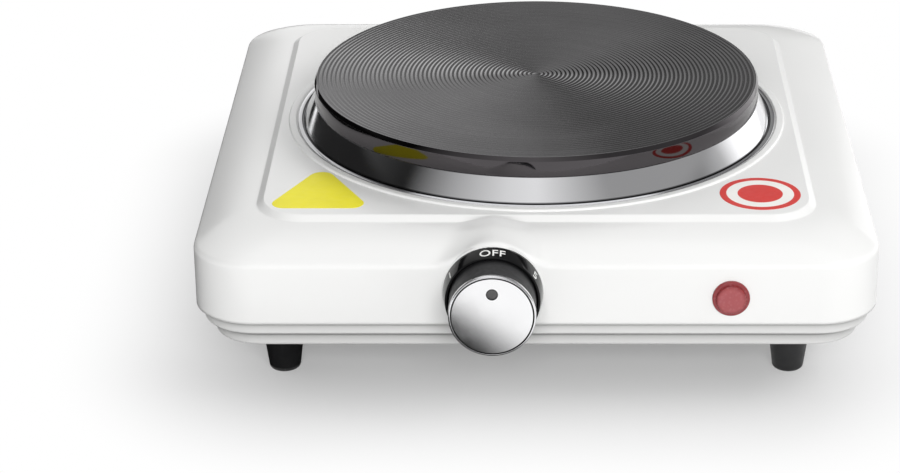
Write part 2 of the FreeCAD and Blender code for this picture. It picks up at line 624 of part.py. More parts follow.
for name, x, y in corners:
    at = (x, y, 0)
    post = turned(f"foot_{name}_form", [
        (0, 0), ("foot_tip", 0), ("foot_mid", "foot_tall - foot_neck"), ("foot_top", "foot_tall"),
        (0, "foot_tall")], at)
    soften(post, "foot_soft", f"foot_{name}_tip", lambda e: e.BoundBox.ZMax < 0.01)
    cut(f"foot_{name}", post, rod(f"foot_{name}_bore", "screw_radius + run_gap", "foot_bite",
                                  (x, y, "pan_low - foot_bite")))
group("foot_screws", [screw(f"foot_screw_{n}", "screw_radius", "foot_bite - screw_short", "head_radius",
                            "head_tall", (x, y, "floor_top")) for n, x, y in corners])

brackets, pan_screws = [], []
for i, (sx, sy) in enumerate(tabs):
    wall, post = "body_wide / 2 - sheet", "floor_wide / 2 - sheet - bracket_gap"
    turn, end = "pan_high + bracket_gap", "floor_wide / 2 - sheet - bracket_tab"
    steps = [(wall, "shoulder - bracket_top"), (wall, turn), (post, turn), (post, "floor_top"),
             (end, "floor_top"), (end, "floor_top + bracket_sheet"),
             (f"{post} - bracket_sheet", "floor_top + bracket_sheet"),
             (f"{post} - bracket_sheet", f"{turn} + bracket_sheet"),
             (f"{wall} - bracket_sheet", f"{turn} + bracket_sheet"),
             (f"{wall} - bracket_sheet", "shoulder - bracket_top")]
    strap = new_body(f"bracket_{i}_form", (0, f"plate_y + {sy}bracket_y", 0))
    bent = pad(strap, outline(strap, f"bracket_{i}_bends", "XZ_Plane",
                              [(f"{sx}({x})", z) for x, z in steps]),
               "bracket_wide", f"bracket_{i}_strip")
    bent.Midplane = True
    at = (f"{sx}bracket_x", f"plate_y + {sy}bracket_y", "pan_low")
    hole = rod(f"bracket_{i}_bore", "screw_radius", "2 * sheet + bracket_sheet", at)
    brackets.append(cut(f"bracket_{i}", strap, hole))
    pan_screws.append(screw(f"pan_screw_{i}", "screw_radius", "sheet + bracket_sheet + screw_past",
                            "head_radius", "head_tall", at, UPSIDE_DOWN))
group("corner_brackets", brackets)
group("pan_screws", pan_screws)

# ---------------------------------------------------------------- hot plate and its clamp

plate_at = (0, "plate_y", 0)
section = [(0, "plate_top"), ("plate_radius - plate_bevel", "plate_top"),
           ("plate_radius", "plate_top - plate_bevel"), ("plate_radius", "plate_skirt"),
           ("skirt_radius", "plate_skirt"), ("skirt_radius", "plate_under")]
for middle in ("coil_out", "coil_mid", "coil_in"):
    outer, inner = f"{middle} + channel_half", f"{middle} - channel_half"
    section += [(outer, "plate_under"), (outer, "channel_roof"), (inner, "channel_roof"),
                (inner, "plate_under")]
section += [("stud_radius", "plate_under"), ("stud_radius", "plate_under + stud_grip"),
            (0, "plate_under + stud_grip")]
turned("hot_plate", section, plate_at)

cement, coils = [], []
for i, middle in enumerate(("coil_in", "coil_mid", "coil_out")):
    low, top = "plate_under", "plate_under + coil_tall"
    cement.append(turned(f"cement_{i}", [
        (f"{middle} - channel_half", low), (f"{middle} - coil_half", low),
        (f"{middle} - coil_half", top), (f"{middle} + coil_half", top),
        (f"{middle} + coil_half", low), (f"{middle} + channel_half", low),
        (f"{middle} + channel_half", "channel_roof"), (f"{middle} - channel_half", "channel_roof")],
        plate_at))
    coils.append(turned(f"coil_{i}", [
        (f"{middle} - coil_half", low), (f"{middle} + coil_half", low),
        (f"{middle} + coil_half", top), (f"{middle} - coil_half", top)], plate_at))
group("coil_cement", cement)
group("heating_coil", coils)

turned("trim_ring", [
    ("lip_in", "plate_skirt"), ("lip_out - 0.3", "plate_skirt"), ("lip_out", "plate_skirt - 0.3"),
    ("ring_foot", "ledge_top + ring_sheet"), ("ring_flange", "ledge_top + ring_sheet"),
    ("ring_flange", "ledge_top"), ("ring_foot - ring_sheet", "ledge_top"),
    ("lip_out - ring_sheet", "plate_skirt - ring_sheet"), ("lip_in", "plate_skirt - ring_sheet")],
    plate_at)

pin_x = ("-pin_gap", "pin_gap")
cover = washer("cover_disc", "cover_radius", "stud_radius + hole_gap", "cover_sheet",
               (0, "plate_y", "cover_low"))
cut("plate_cover", cover, *[rod(f"cover_hole_{i}", "pin_radius + pin_clear", "3 * cover_sheet",
                                (x, "pin_y", "cover_low - cover_sheet"))
                            for i, x in enumerate(pin_x)])
group("coil_pins", [rod(f"coil_pin_{i}", "pin_radius", "insulator_tall + cover_sheet - tab_bite",
                        (x, "pin_y", "tile_low + tab_bite"))
                    for i, x in enumerate(pin_x)])
tile = block("insulator_tile", ("insulator_wide", "insulator_deep", "insulator_tall"),
             (0, "pin_y", "tile_low"))
ways = [rod(f"insulator_way_{i}", "pin_radius", "insulator_tall",
            (x, "pin_y", "tile_low + tab_bite")) for i, x in enumerate(pin_x)]
ways += [block(f"insulator_slot_{i}", ("tab_wide", "tab_sheet", "2 * tab_bite"),
               (x, "pin_y", "tile_low - tab_bite")) for i, x in enumerate(pin_x)]
cut("terminal_insulator", tile, *ways)
group("plate_tabs", [block(f"plate_tab_{i}", ("tab_wide", "tab_sheet", "tab_tall"),
                           (x, "pin_y", "tab_low")) for i, x in enumerate(pin_x)])

rod("center_stud", "stud_radius", "plate_under + stud_grip - stud_low",
    (0, "plate_y", "stud_low"))
nut("cover_nut", (0, "plate_y", "cover_low - nut_tall"))
shield = turned("shield_dish", [
    ("stud_radius + hole_gap", "strap_top"), ("shield_flat", "strap_top"),
    ("shield_radius", "strap_top + shield_rise"),
    ("shield_radius", "strap_top + shield_rise + shield_sheet"),
    ("shield_flat", "strap_top + shield_sheet"),
    ("stud_radius + hole_gap", "strap_top + shield_sheet")], plate_at)
cut("heat_shield", shield,
    block("shield_slot", ("insulator_wide", "insulator_deep / 2", "3 * shield_rise"),
          (0, "pin_y", "strap_top - shield_rise")))
nut("shield_nut", (0, "plate_y", "strap_top + shield_sheet"))
bar = new_body("strap_form", plate_at)
rise = [("strap_half", "ledge_top - sheet"), ("strap_bend", "ledge_top - sheet"),
        ("strap_flat", "strap_top")]
upper = rise + [(f"-{x}", z) for x, z in reversed(rise)]
lower = [(f"{x} - strap_sheet / 3 * {k}" if k else x, f"{z} - strap_sheet")
         for (x, z), k in zip(rise, (0, -1, -1))]
lower = [(x.replace("* -1", "* (-1)"), z) for x, z in lower]
under = [(f"-({x})", z) for x, z in lower] + list(reversed(lower))
bends = outline(bar, "strap_bends", "XZ_Plane", upper + under)
strip = pad(bar, bends, "strap_wide", "strap_strip")
strip.Midplane = True
cut("clamp_strap", bar, rod("strap_hole", "stud_radius + hole_gap", "4 * strap_sheet",
                            (0, "plate_y", "strap_top - 2 * strap_sheet")))
washer("spring_washer", "washer_radius", "stud_radius + run_gap", "washer_tall",
       (0, "plate_y", "washer_low"))
nut("clamp_nut", (0, "plate_y", "clamp_low"))

# ---------------------------------------------------------------- thermostat

on_shaft = ("knob_x", "knob_z")
frame = new_body("frame_form", (0, "front_y", "frame_low"))
left, right = "stack_x - frame_lap", "knob_x + screw_offset + frame_lap"
angle = outline(frame, "frame_angle", "XY_Plane", [
    (left, "sheet"), (right, "sheet"), (right, "sheet + frame_foot"),
    (f"{right} - frame_sheet", "sheet + frame_foot"), (f"{right} - frame_sheet", "wall_in"),
    (left, "wall_in")])
pad(frame, angle, "frame_tall", "frame_strip")
frame_holes = [wall_hole("frame_bush_hole", "bush_radius", *on_shaft),
               wall_hole("frame_stack_hole", "stack_screw", *stack_at)]
frame_holes += [wall_hole(f"frame_tap_{i}", "small_screw", x, "knob_z")
                for i, x in enumerate(screw_x)]
cut("thermostat_frame", frame, *frame_holes)

turned("thermostat_bush", [
    ("shaft_radius + run_gap", "-bush_back"), ("bush_radius", "-bush_back"),
    ("bush_radius", "-wall_in - flange_thick"), ("bush_flange", "-wall_in - flange_thick"),
    ("bush_flange", "-wall_in"), ("bush_radius", "-wall_in"), ("bush_radius", "bush_front"),
    ("shaft_radius + run_gap", "bush_front")], forward(*on_shaft), TO_FRONT)

spindle = rod("spindle", "shaft_radius", "shaft_front + shaft_back",
              forward(*on_shaft, "-shaft_back"), TO_FRONT)
flat_long = "shaft_front - flat_from + overrun"
flat_mid = "front_y - (shaft_front + flat_from + overrun) / 2"
flat = block("spindle_flat", ("4 * shaft_radius", flat_long, "2 * shaft_radius"),
             ("knob_x", flat_mid, "knob_z + shaft_flat"))
cut("thermostat_shaft", spindle, flat,
    rod("spindle_bore", "small_screw", "pin_sunk", forward(*on_shaft, "-shaft_back"), TO_FRONT))
rod("thermostat_pin", "small_screw", "pin_sunk + pin_proud",
    forward(*on_shaft, "-shaft_back - pin_proud"), TO_FRONT)
washer("shaft_clip", "clip_radius", "shaft_radius", "clip_thick",
       forward(*on_shaft, "-bush_back - hole_gap - clip_thick"), TO_FRONT)
group("thermostat_screws", [
    screw(f"thermostat_screw_{i}", "small_screw",
          "seat_high + bezel_sheet + wall_in + sheet", "small_head", "small_tall",
          forward(x, "knob_z", "seat_high + bezel_sheet"), TO_FRONT) for i, x in enumerate(screw_x)])

stack_parts = []
for i, (near, thick) in enumerate((("wall_in", "stack_first"),
                                   ("blade_one + blade_sheet", "stack_second"),
                                   ("blade_two + blade_sheet", "stack_third"),
                                   ("bimetal_at + bimetal_sheet", "stack_last"))):
    stack_parts.append(washer(f"stack_tile_{i}", "stack_radius", "stack_screw", thick,
                              forward(*stack_at, f"-({near}) - ({thick})"), TO_FRONT))
group("thermostat_stack", stack_parts)
screw("stack_bolt", "stack_screw", "stack_end - sheet - run_gap", "head_radius", "head_tall",
      forward(*stack_at, "-(stack_end)"), TO_REAR)


def leaf(label, near, thick, wide, past, tail=None):
    """A flat spring leaf clamped in the stack, with a terminal tail that may hang from it."""
    body = new_body(label + "_form", (0, f"front_y + {near} + {thick}", 0))
    start, end = "stack_x - stack_radius", f"knob_x + {past}"
    top, low = f"knob_z + {wide} / 2", f"knob_z - {wide} / 2"
    points = [(start, top), (start, low), (end, low), (end, top)]
    if tail:
        near_side, far_side = f"{tail} - tail_wide / 2", f"{tail} + tail_wide / 2"
        points[2:2] = [(near_side, low), (near_side, "tail_low"), (far_side, "tail_low"),
                       (far_side, low)]
        if tail == "tail_front_x":
            points = points[:1] + points[3:]
    pad(body, outline(body, label + "_plan", "XZ_Plane", points), thick, label + "_strip")
    hole = rod(label + "_eye", "stack_screw", f"3 * {thick}",
               forward(*stack_at, f"-({near}) - 2 * {thick}"), TO_FRONT)
    return cut(label, body, hole)


group("contact_blades", [
    leaf("blade_front", "blade_one", "blade_sheet", "blade_wide", "blade_past", "tail_front_x"),
    leaf("blade_rear", "blade_two", "blade_sheet", "blade_wide", "blade_past", "tail_rear_x")])
leaf("bimetal_strip", "bimetal_at", "bimetal_sheet", "bimetal_wide", "bimetal_past")
button_x = "knob_x + button_offset"
group("contact_buttons", [
    rod("button_front", "button_radius", "button_tall",
        forward(button_x, "knob_z", "-(blade_one + blade_sheet) - button_tall"), TO_FRONT),
    rod("button_rear", "button_radius", "button_tall",
        forward(button_x, "knob_z", "-(blade_two)"), TO_FRONT)])

# ---------------------------------------------------------------- knob and dial

knob = turned("knob_moulding", [
    ("hub_radius", "knob_back"), ("hub_radius", "web_back"),
    ("skirt_in_radius", "web_back"), ("skirt_in_radius", "knob_back"),
    ("knob_radius", "knob_back"), ("knob_radius", "cap_back"), ("skin_radius", "cap_back"),
    ("skin_radius", "knob_reach - cap_face"),
    (0, "knob_reach - cap_face"), (0, "knob_back")], forward(*on_shaft), TO_FRONT)
socket = rod("knob_socket", "shaft_radius + run_gap", "shaft_front - knob_back + overrun + run_gap",
             forward(*on_shaft, "knob_back - overrun"), TO_FRONT)
key = block("knob_key", ("4 * shaft_radius", flat_long, "2 * shaft_radius"),
            ("knob_x", f"{flat_mid} - run_gap", "knob_z + shaft_flat + run_gap"))
cut("knob_body", knob, cut("knob_bore", socket, key))

cap = turned("cap_form", [
    ("skin_radius", "cap_back"), ("knob_radius", "cap_back"), ("knob_radius", "knob_reach"),
    (0, "knob_reach"), (0, "knob_reach - cap_face"), ("skin_radius", "knob_reach - cap_face")],
    forward(*on_shaft), TO_FRONT)
soften(cap, "cap_soft", "cap_rim", lambda e: e.BoundBox.ZMin > val("knob_reach") - 0.01)
dot_at = ("knob_x", "knob_z + dot_rise")
cut("knob_cap", cap, rod("dot_hole", "dot_radius", "2 * cap_face",
                         forward(*dot_at, "knob_reach - cap_face"), TO_FRONT))
rod("pointer_dot", "dot_radius", "cap_face - dot_sunk",
    forward(*dot_at, "knob_reach - cap_face"), TO_FRONT)

dial = turned("bezel_form", [
    ("bush_radius + hole_gap", "seat_high"), ("bezel_base", "seat_high"),
    ("bezel_tip", "bezel_reach"), ("bezel_bore", "bezel_reach"),
    ("bezel_bore", "seat_high + bezel_sheet"),
    ("bush_radius + hole_gap", "seat_high + bezel_sheet")], forward(*on_shaft), TO_FRONT)
cut("dial_bezel", dial, *[rod(f"bezel_hole_{i}", "small_screw + run_gap", "3 * bezel_sheet",
                              forward(x, "knob_z", "seat_high - bezel_sheet"), TO_FRONT)
                          for i, x in enumerate(screw_x)])

# ---------------------------------------------------------------- pilot lamp

on_lamp = ("lamp_x", "lamp_z")
lens = turned("lamp_lens", [
    ("lamp_barrel - lamp_wall", "-lamp_back"), ("lamp_barrel", "-lamp_back"), ("lamp_barrel", 0),
    ("lamp_flange", 0), ("lamp_flange", "lamp_flange_thick"), ("lamp_dome", "lamp_flange_thick"),
    ("lamp_dome", "lamp_reach"), (0, "lamp_reach"), (0, "lamp_reach - lamp_wall"),
    ("lamp_barrel - lamp_wall", "lamp_reach - lamp_wall")], forward(*on_lamp), TO_FRONT)
soften(lens, "(lamp_reach - lamp_flange_thick) * 0.8", "lens_dome",
       lambda e: e.BoundBox.ZMin > val("lamp_reach") - 0.01)
rod("neon_bulb", "bulb_radius", "bulb_long",
    forward(*on_lamp, "holder_floor - holder_back"), TO_FRONT)
cup = turned("holder_form", [
    (0, "-holder_back"), ("lamp_barrel + holder_wall", "-holder_back"),
    ("lamp_barrel + holder_wall", "-lamp_back + holder_lap"),
    ("lamp_barrel", "-lamp_back + holder_lap"), ("lamp_barrel", "holder_floor - holder_back"),
    (0, "holder_floor - holder_back")],
    forward(*on_lamp), TO_FRONT)
lamp_wires = ("lamp_x - lamp_wire_gap", "lamp_x + lamp_wire_gap")
cut("lamp_holder", cup, *[rod(f"holder_hole_{i}", "lamp_wire", "2 * holder_floor",
                              forward(x, "lamp_wire_z", "-holder_back - holder_floor / 2"), TO_FRONT)
                          for i, x in enumerate(lamp_wires)])
washer("lamp_clip", "lamp_clip_out", "lamp_barrel", "ring_sheet",
       forward(*on_lamp, "-sheet - ring_sheet"), TO_FRONT)

# ---------------------------------------------------------------- mains entry and wiring

turned("cord_bushing", [
    ("gland_bore", "-sheet - gland_lip"), ("gland_flange", "-sheet - gland_lip"),
    ("gland_flange", "-sheet"), ("gland_neck", "-sheet"), ("gland_neck", 0), ("gland_flange", 0),
    ("gland_flange", "gland_reach - gland_soft"), ("gland_flange - gland_soft", "gland_reach"),
    ("gland_bore", "gland_reach")], ("gland_x", "rear_y", "gland_z"), TO_REAR)

poles = ("gland_x - pole_pitch", "gland_x", "gland_x + pole_pitch")
body = block("block_form", ("block_wide", "block_deep", "block_tall"),
             ("gland_x", "block_y", "floor_top"))
block_face = "block_y - block_deep / 2"
block_holes = [rod(f"pole_way_{i}", "pole_radius", "block_deep + 2 * overrun",
                   (x, f"{block_face} - overrun", "wire_z"), TO_REAR)
               for i, x in enumerate(poles)]
block_holes += [rod(f"block_bore_{i}", "small_screw + run_gap", "block_tall + 2 * overrun",
                    (f"gland_x + {s}pole_pitch / 2", "block_y", "floor_top - overrun"))
                for i, s in enumerate(("-", ""))]
cut("terminal_block", body, *block_holes)
group("block_sleeves", [
    cut(f"sleeve_{i}",
        rod(f"sleeve_{i}_rod", "pole_radius", "block_deep", (x, block_face, "wire_z"), TO_REAR),
        rod(f"sleeve_{i}_bore", "wire_radius", "block_deep + 2 * overrun",
            (x, f"{block_face} - overrun", "wire_z"), TO_REAR)) for i, x in enumerate(poles)])
group("block_screws", [
    screw(f"block_screw_{i}", "small_screw", "block_tall + 2 * sheet", "small_head", "small_tall",
          (f"gland_x + {s}pole_pitch / 2", "block_y", "floor_top + block_tall"))
    for i, s in enumerate(("-", ""))])
screw("earth_screw", "screw_radius", "sheet + screw_past", "head_radius", "head_tall",
      ("gland_x", "earth_y", "floor_top"))

pole_front = f"{block_face} + wire_grip"
turn_y = "front_y + stack_end + 2 * bend_radius"
lead("lead_supply", "wire_radius", [
    (poles[0], pole_front, "wire_z"), (poles[0], turn_y, "wire_z"),
    ("tail_front_x", turn_y, "wire_z"),
    ("tail_front_x", "front_y + blade_one + blade_sheet", "wire_z")])
lead("lead_load", "wire_radius", [
    ("tail_rear_x", "front_y + blade_two + blade_sheet", "wire_z"),
    ("tail_rear_x", "pin_y", "wire_z"), ("-pin_gap - lead_aside", "pin_y", "wire_z"),
    ("-pin_gap - lead_aside", "pin_y", "tab_low")], "bend_tight")
behind_tabs = "pin_y + coil_mid / 2"
lead("lead_neutral", "wire_radius", [
    (poles[2], pole_front, "wire_z"), (poles[2], behind_tabs, "wire_z"),
    ("pin_gap", behind_tabs, "wire_z"), ("pin_gap", behind_tabs, "tab_low + tab_bite"),
    ("pin_gap", "pin_y + tab_sheet / 2", "tab_low + tab_bite")])
lead("lead_earth", "wire_radius", [
    (poles[1], pole_front, "wire_z"), (poles[1], "earth_y", "wire_z"),
    (poles[1], "earth_y", "floor_top + head_tall")], "bend_tight")
lamp_end = "front_y + holder_back - holder_floor"
lamp_runs = (("left", lamp_wires[0], "-pin_gap + lead_aside", "coil_mid / 2"),
             ("right", lamp_wires[1], "pin_gap + lead_aside", "coil_mid / 2 - bend_radius"))
for name, start, tab, run in lamp_runs:
    lead(f"lead_lamp_{name}", "lamp_wire", [
        (start, lamp_end, "lamp_wire_z"), (start, f"pin_y - ({run})", "lamp_wire_z"),
        (tab, f"pin_y - ({run})", "lamp_wire_z"), (tab, "pin_y - tab_sheet / 2", "lamp_wire_z")])

# ---------------------------------------------------------------- write the parts

NODES = """
top_housing base_pan foot_front_left foot_front_right foot_rear_left foot_rear_right foot_screws
corner_brackets pan_screws hot_plate coil_cement heating_coil trim_ring plate_cover coil_pins
terminal_insulator plate_tabs center_stud cover_nut heat_shield shield_nut clamp_strap
spring_washer clamp_nut thermostat_frame thermostat_bush thermostat_shaft thermostat_pin
shaft_clip thermostat_screws thermostat_stack stack_bolt contact_blades bimetal_strip
contact_buttons knob_body knob_cap pointer_dot dial_bezel lamp_lens neon_bulb lamp_holder
lamp_clip cord_bushing terminal_block block_sleeves block_screws earth_screw lead_supply
lead_load lead_neutral lead_earth lead_lamp_left lead_lamp_right
""".split()

doc.recompute()
for obj in doc.Objects:
    if "Invalid" in obj.State or "Error" in obj.State:
        raise RuntimeError(f"{obj.Label} did not compute: {obj.State}")
for name in NODES:
    shape = doc.getObjectsByLabel(name)[0].Shape
    if shape.isNull() or not shape.isValid():
        raise RuntimeError(f"{name} has no valid shape")
os.makedirs("parts", exist_ok=True)
for name in NODES:
    doc.getObjectsByLabel(name)[0].Shape.exportStep(f"parts/{name}.step")
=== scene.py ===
# %% [markdown]
# # A hot plate burner, finished in Blender
# The CAD model fixes every size, place and joint. This notebook keeps it as a frame,
# rebuilds the surfaces that the eye meets first as smooth computed meshes, and gives
# every piece a finish. Each step says first what the real piece is like.

# %% Load the frame
import json
import math
import bpy
import bmesh
import numpy as np
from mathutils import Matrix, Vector


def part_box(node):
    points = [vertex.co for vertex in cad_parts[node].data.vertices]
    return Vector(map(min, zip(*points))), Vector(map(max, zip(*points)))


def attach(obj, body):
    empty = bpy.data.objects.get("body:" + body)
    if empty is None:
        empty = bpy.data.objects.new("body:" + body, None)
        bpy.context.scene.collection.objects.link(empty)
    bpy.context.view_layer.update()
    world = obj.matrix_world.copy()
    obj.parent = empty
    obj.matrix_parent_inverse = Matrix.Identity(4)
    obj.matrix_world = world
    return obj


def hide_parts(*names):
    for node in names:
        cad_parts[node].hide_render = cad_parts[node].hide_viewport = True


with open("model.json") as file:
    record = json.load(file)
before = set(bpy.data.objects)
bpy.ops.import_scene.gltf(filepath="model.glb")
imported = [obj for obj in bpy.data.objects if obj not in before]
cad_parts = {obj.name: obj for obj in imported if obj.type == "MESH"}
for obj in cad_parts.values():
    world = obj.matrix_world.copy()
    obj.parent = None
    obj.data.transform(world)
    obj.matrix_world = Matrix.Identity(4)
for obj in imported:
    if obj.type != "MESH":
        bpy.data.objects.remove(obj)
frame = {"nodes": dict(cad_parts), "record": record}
scene = bpy.context.scene
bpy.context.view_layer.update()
nodes = frame["nodes"]

# %% [markdown]
# ## Where things are
# A node's box gives its place, so no size is typed twice. The plate and its ring are
# turned about one upright axis; the knob, its collar and the lamp about axes that point
# out of the front wall. The collar lies on a flat seat that stands a little proud.

# %% Axes read from the frame
MM = 0.001
SEAT = 0.3 * MM


def middle(node):
    """Centre of a node's box, as an array in metres."""
    low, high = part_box(node)
    return (np.array(low) + np.array(high)) / 2


def half_width(box):
    """Half the width of a box in mm, which is the radius of a round piece."""
    return (box[1][0] - box[0][0]) / 2 / MM


def stand_out(box):
    """How far the front and the back of a box stand out from the front wall, in mm."""
    return -(box[0][1] - front_y) / MM, -(box[1][1] - front_y) / MM


front_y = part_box("dial_bezel")[1][1] + SEAT
plate_axis = middle("hot_plate") * (1, 1, 0)
knob_axis = middle("dial_bezel")
lamp_axis = middle("lamp_lens")
knob_axis[1] = lamp_axis[1] = front_y
print("plate", plate_axis.round(4), "knob", knob_axis.round(4), "lamp", lamp_axis.round(4))

# %% [markdown]
# ## Computed surfaces
# Most pieces here come off a lathe or out of a round mould, so one function serves
# them all: it carries a profile round an axis. The profile is written as corners, each
# with its radius, the way a drawing gives it, and the arcs are worked out.

# %% Rounded corners


def arcs(corners, steps=5, closed=False):
    """A chain of (r, h, radius) corners with each corner rounded. An arc starts and ends
    at radius / tan(half the angle) from its corner, and lies on the circle it touches."""
    pts = np.array([[c[0], c[1]] for c in corners], float)
    rad = np.array([c[2] if len(c) > 2 else 0.0 for c in corners], float)
    out = []
    for i, (p, r) in enumerate(zip(pts, rad)):
        if r == 0 or (not closed and i in (0, len(pts) - 1)):
            out.append(p[None])
            continue
        a = pts[i - 1] - p
        b = pts[(i + 1) % len(pts)] - p
        a, b = a / np.linalg.norm(a), b / np.linalg.norm(b)
        angle = math.acos(float(np.clip(a @ b, -1, 1)))
        reach = r / math.tan(angle / 2)
        centre = p + (a + b) / np.linalg.norm(a + b) * (r / math.sin(angle / 2))
        s = p + a * reach - centre
        e = p + b * reach - centre
        turn = math.atan2(s[0] * e[1] - s[1] * e[0], s @ e)
        t = np.linspace(0, turn, steps + 1)[:, None]
        out.append(centre + np.cos(t) * s + np.sin(t) * np.array([-s[1], s[0]]))
    return np.concatenate(out)


# %% Meshes and the lathe
AXES = {
    "up": np.eye(3),
    "front": np.array([[1, 0, 0], [0, 0, 1], [0, -1, 0]], float),
}


def full_turn(count):
    """Evenly spaced angles round a circle."""
    return np.linspace(0, 2 * math.pi, count, endpoint=False)


def spokes(angles, axis):
    """Directions cos(a) u + sin(a) v, square to an axis."""
    return np.cos(angles)[:, None] * AXES[axis][0] + np.sin(angles)[:, None] * AXES[axis][1]


def bands(rows, columns, closed=False):
    """Quads between neighbouring rows of points, where each row closes on itself."""
    index = np.arange(rows * columns).reshape(rows, columns)
    above = np.roll(index, -1, axis=0)
    quads = np.stack([index, np.roll(index, -1, axis=1), np.roll(above, -1, axis=1), above], -1)
    return (quads if closed else quads[:-1]).reshape(-1, 4)


def into_scene(name, data):
    """A new object with this data, in the scene."""
    obj = bpy.data.objects.new(name, data)
    scene.collection.objects.link(obj)
    return obj


def put_mesh(name, verts, faces, smooth=35):
    """A mesh object at the origin, its faces turned outwards by the sign of its volume."""
    mesh = bpy.data.meshes.new(name)
    verts = np.asarray(verts, float)
    tri = np.array([(f[0], f[k], f[k + 1]) for f in faces for k in range(1, len(f) - 1)])
    volume = np.einsum("ij,ij->i", verts[tri[:, 0]],
                       np.cross(verts[tri[:, 1]], verts[tri[:, 2]])).sum()
    if volume < 0:
        faces = [f[::-1] for f in faces]
    mesh.from_pydata(verts.tolist(), [], faces)
    mesh.polygons.foreach_set("use_smooth", np.ones(len(mesh.polygons), bool))
    mesh.set_sharp_from_angle(angle=math.radians(smooth))
    mesh.validate()
    return into_scene(name, mesh)


def lathe(name, profile, centre, axis="up", segments=160, ring=False, smooth=35):
    """Carry a profile of (r, h) points in mm round an axis: point (i, j) is
    centre + r_i cos(a_j) u + r_i sin(a_j) v + h_i w. A point with r = 0 is one pole."""
    profile = np.asarray(profile, float) * MM
    r, h = profile[:, 0, None, None], profile[:, 1, None, None]
    grid = centre + r * spokes(full_turn(segments), axis) + h * AXES[axis][2]
    count = len(profile)
    index = np.arange(count * segments).reshape(count, segments)
    pole = profile[:, 0] < 1e-9
    index[pole] = index[pole][:, :1]
    faces = []
    for i in range(count if ring else count - 1):
        p, q = index[i], index[(i + 1) % count]
        p2, q2 = np.roll(p, -1), np.roll(q, -1)
        if pole[i]:
            quad = np.stack([p, q, q2], 1)
        elif pole[(i + 1) % count]:
            quad = np.stack([p, q, p2], 1)
        else:
            quad = np.stack([p, q, q2, p2], 1)
        faces += quad.tolist()
    used = np.unique(np.concatenate(faces))
    faces = [np.searchsorted(used, f).tolist() for f in faces]
    return put_mesh(name, grid.reshape(-1, 3)[used], faces, smooth)


# %% [markdown]
# ## Finishes
# A finish is a base colour with what drifts over it: a slow change of tone, a fine
# change of gloss, and a relief too small to model. A small class keeps that order, so
# each material reads like a paint recipe. Most patterns are soft noise, given by its
# size in millimetres, or its size and detail. They lie in object coordinates, so that
# they keep their size on every piece.

# %% Colours and node trees
def srgb(colour):
    """A screen colour from 0 to 255 as the linear values that a shader takes."""
    c = np.array(colour) / 255
    return (*np.where(c <= 0.04045, c / 12.92, ((c + 0.055) / 1.055) ** 2.4).tolist(), 1.0)


class Nodes:
    """The node tree of a material or world, with short ways to add and join nodes."""

    def __init__(self, owner):
        owner.use_nodes = True
        self.tree = owner.node_tree
        self.tree.nodes.clear()

    def add(self, kind, sockets=None, **settings):
        """A node with its settings, and its sockets set by value or joined to an output."""
        node = self.tree.nodes.new("ShaderNode" + kind)
        for key, value in settings.items():
            setattr(node, key, value)
        for key, value in (sockets or {}).items():
            if isinstance(value, bpy.types.NodeSocket):
                self.link(value, node.inputs[key])
            else:
                node.inputs[key].default_value = value
        return node

    def link(self, source, target):
        self.tree.links.new(source, target)

    def where(self, centre=(0, 0, 0), scale=(1, 1, 1)):
        """Object coordinates, moved so that a centre is the origin, then scaled."""
        spot = self.add("TexCoord").outputs["Object"]
        moved = self.vector("SUBTRACT", spot, tuple(centre))
        return self.add("Mapping", {"Vector": moved, "Scale": scale}).outputs[0]

    def vector(self, operation, *given):
        """A sum on one or two vectors, which may be outputs or values."""
        node = self.add("VectorMath", dict(enumerate(given)), operation=operation)
        return node.outputs["Value" if operation == "LENGTH" else "Vector"]

    def number(self, operation, *given):
        """A sum on two numbers, which may be outputs or values."""
        return self.add("Math", dict(enumerate(given)), operation=operation).outputs[0]

    def ramp(self, value, stops):
        """Greys at these places from 0 to 1, with even changes between them."""
        node = self.add("ValToRGB", {"Fac": value})
        elements = node.color_ramp.elements
        while len(elements) < len(stops):
            elements.new(0.5)
        for element, (place, grey) in zip(elements, stops):
            element.position, element.color = place, (grey, grey, grey, 1)
        return node.outputs["Color"]

    def fade(self, value, low, high, start=0.0, end=1.0):
        """Run smoothly from start to end while the value runs from low to high."""
        return self.add("MapRange", {"Value": value, "From Min": low, "From Max": high,
                                     "To Min": start, "To Max": end},
                        interpolation_type="SMOOTHSTEP").outputs["Result"]


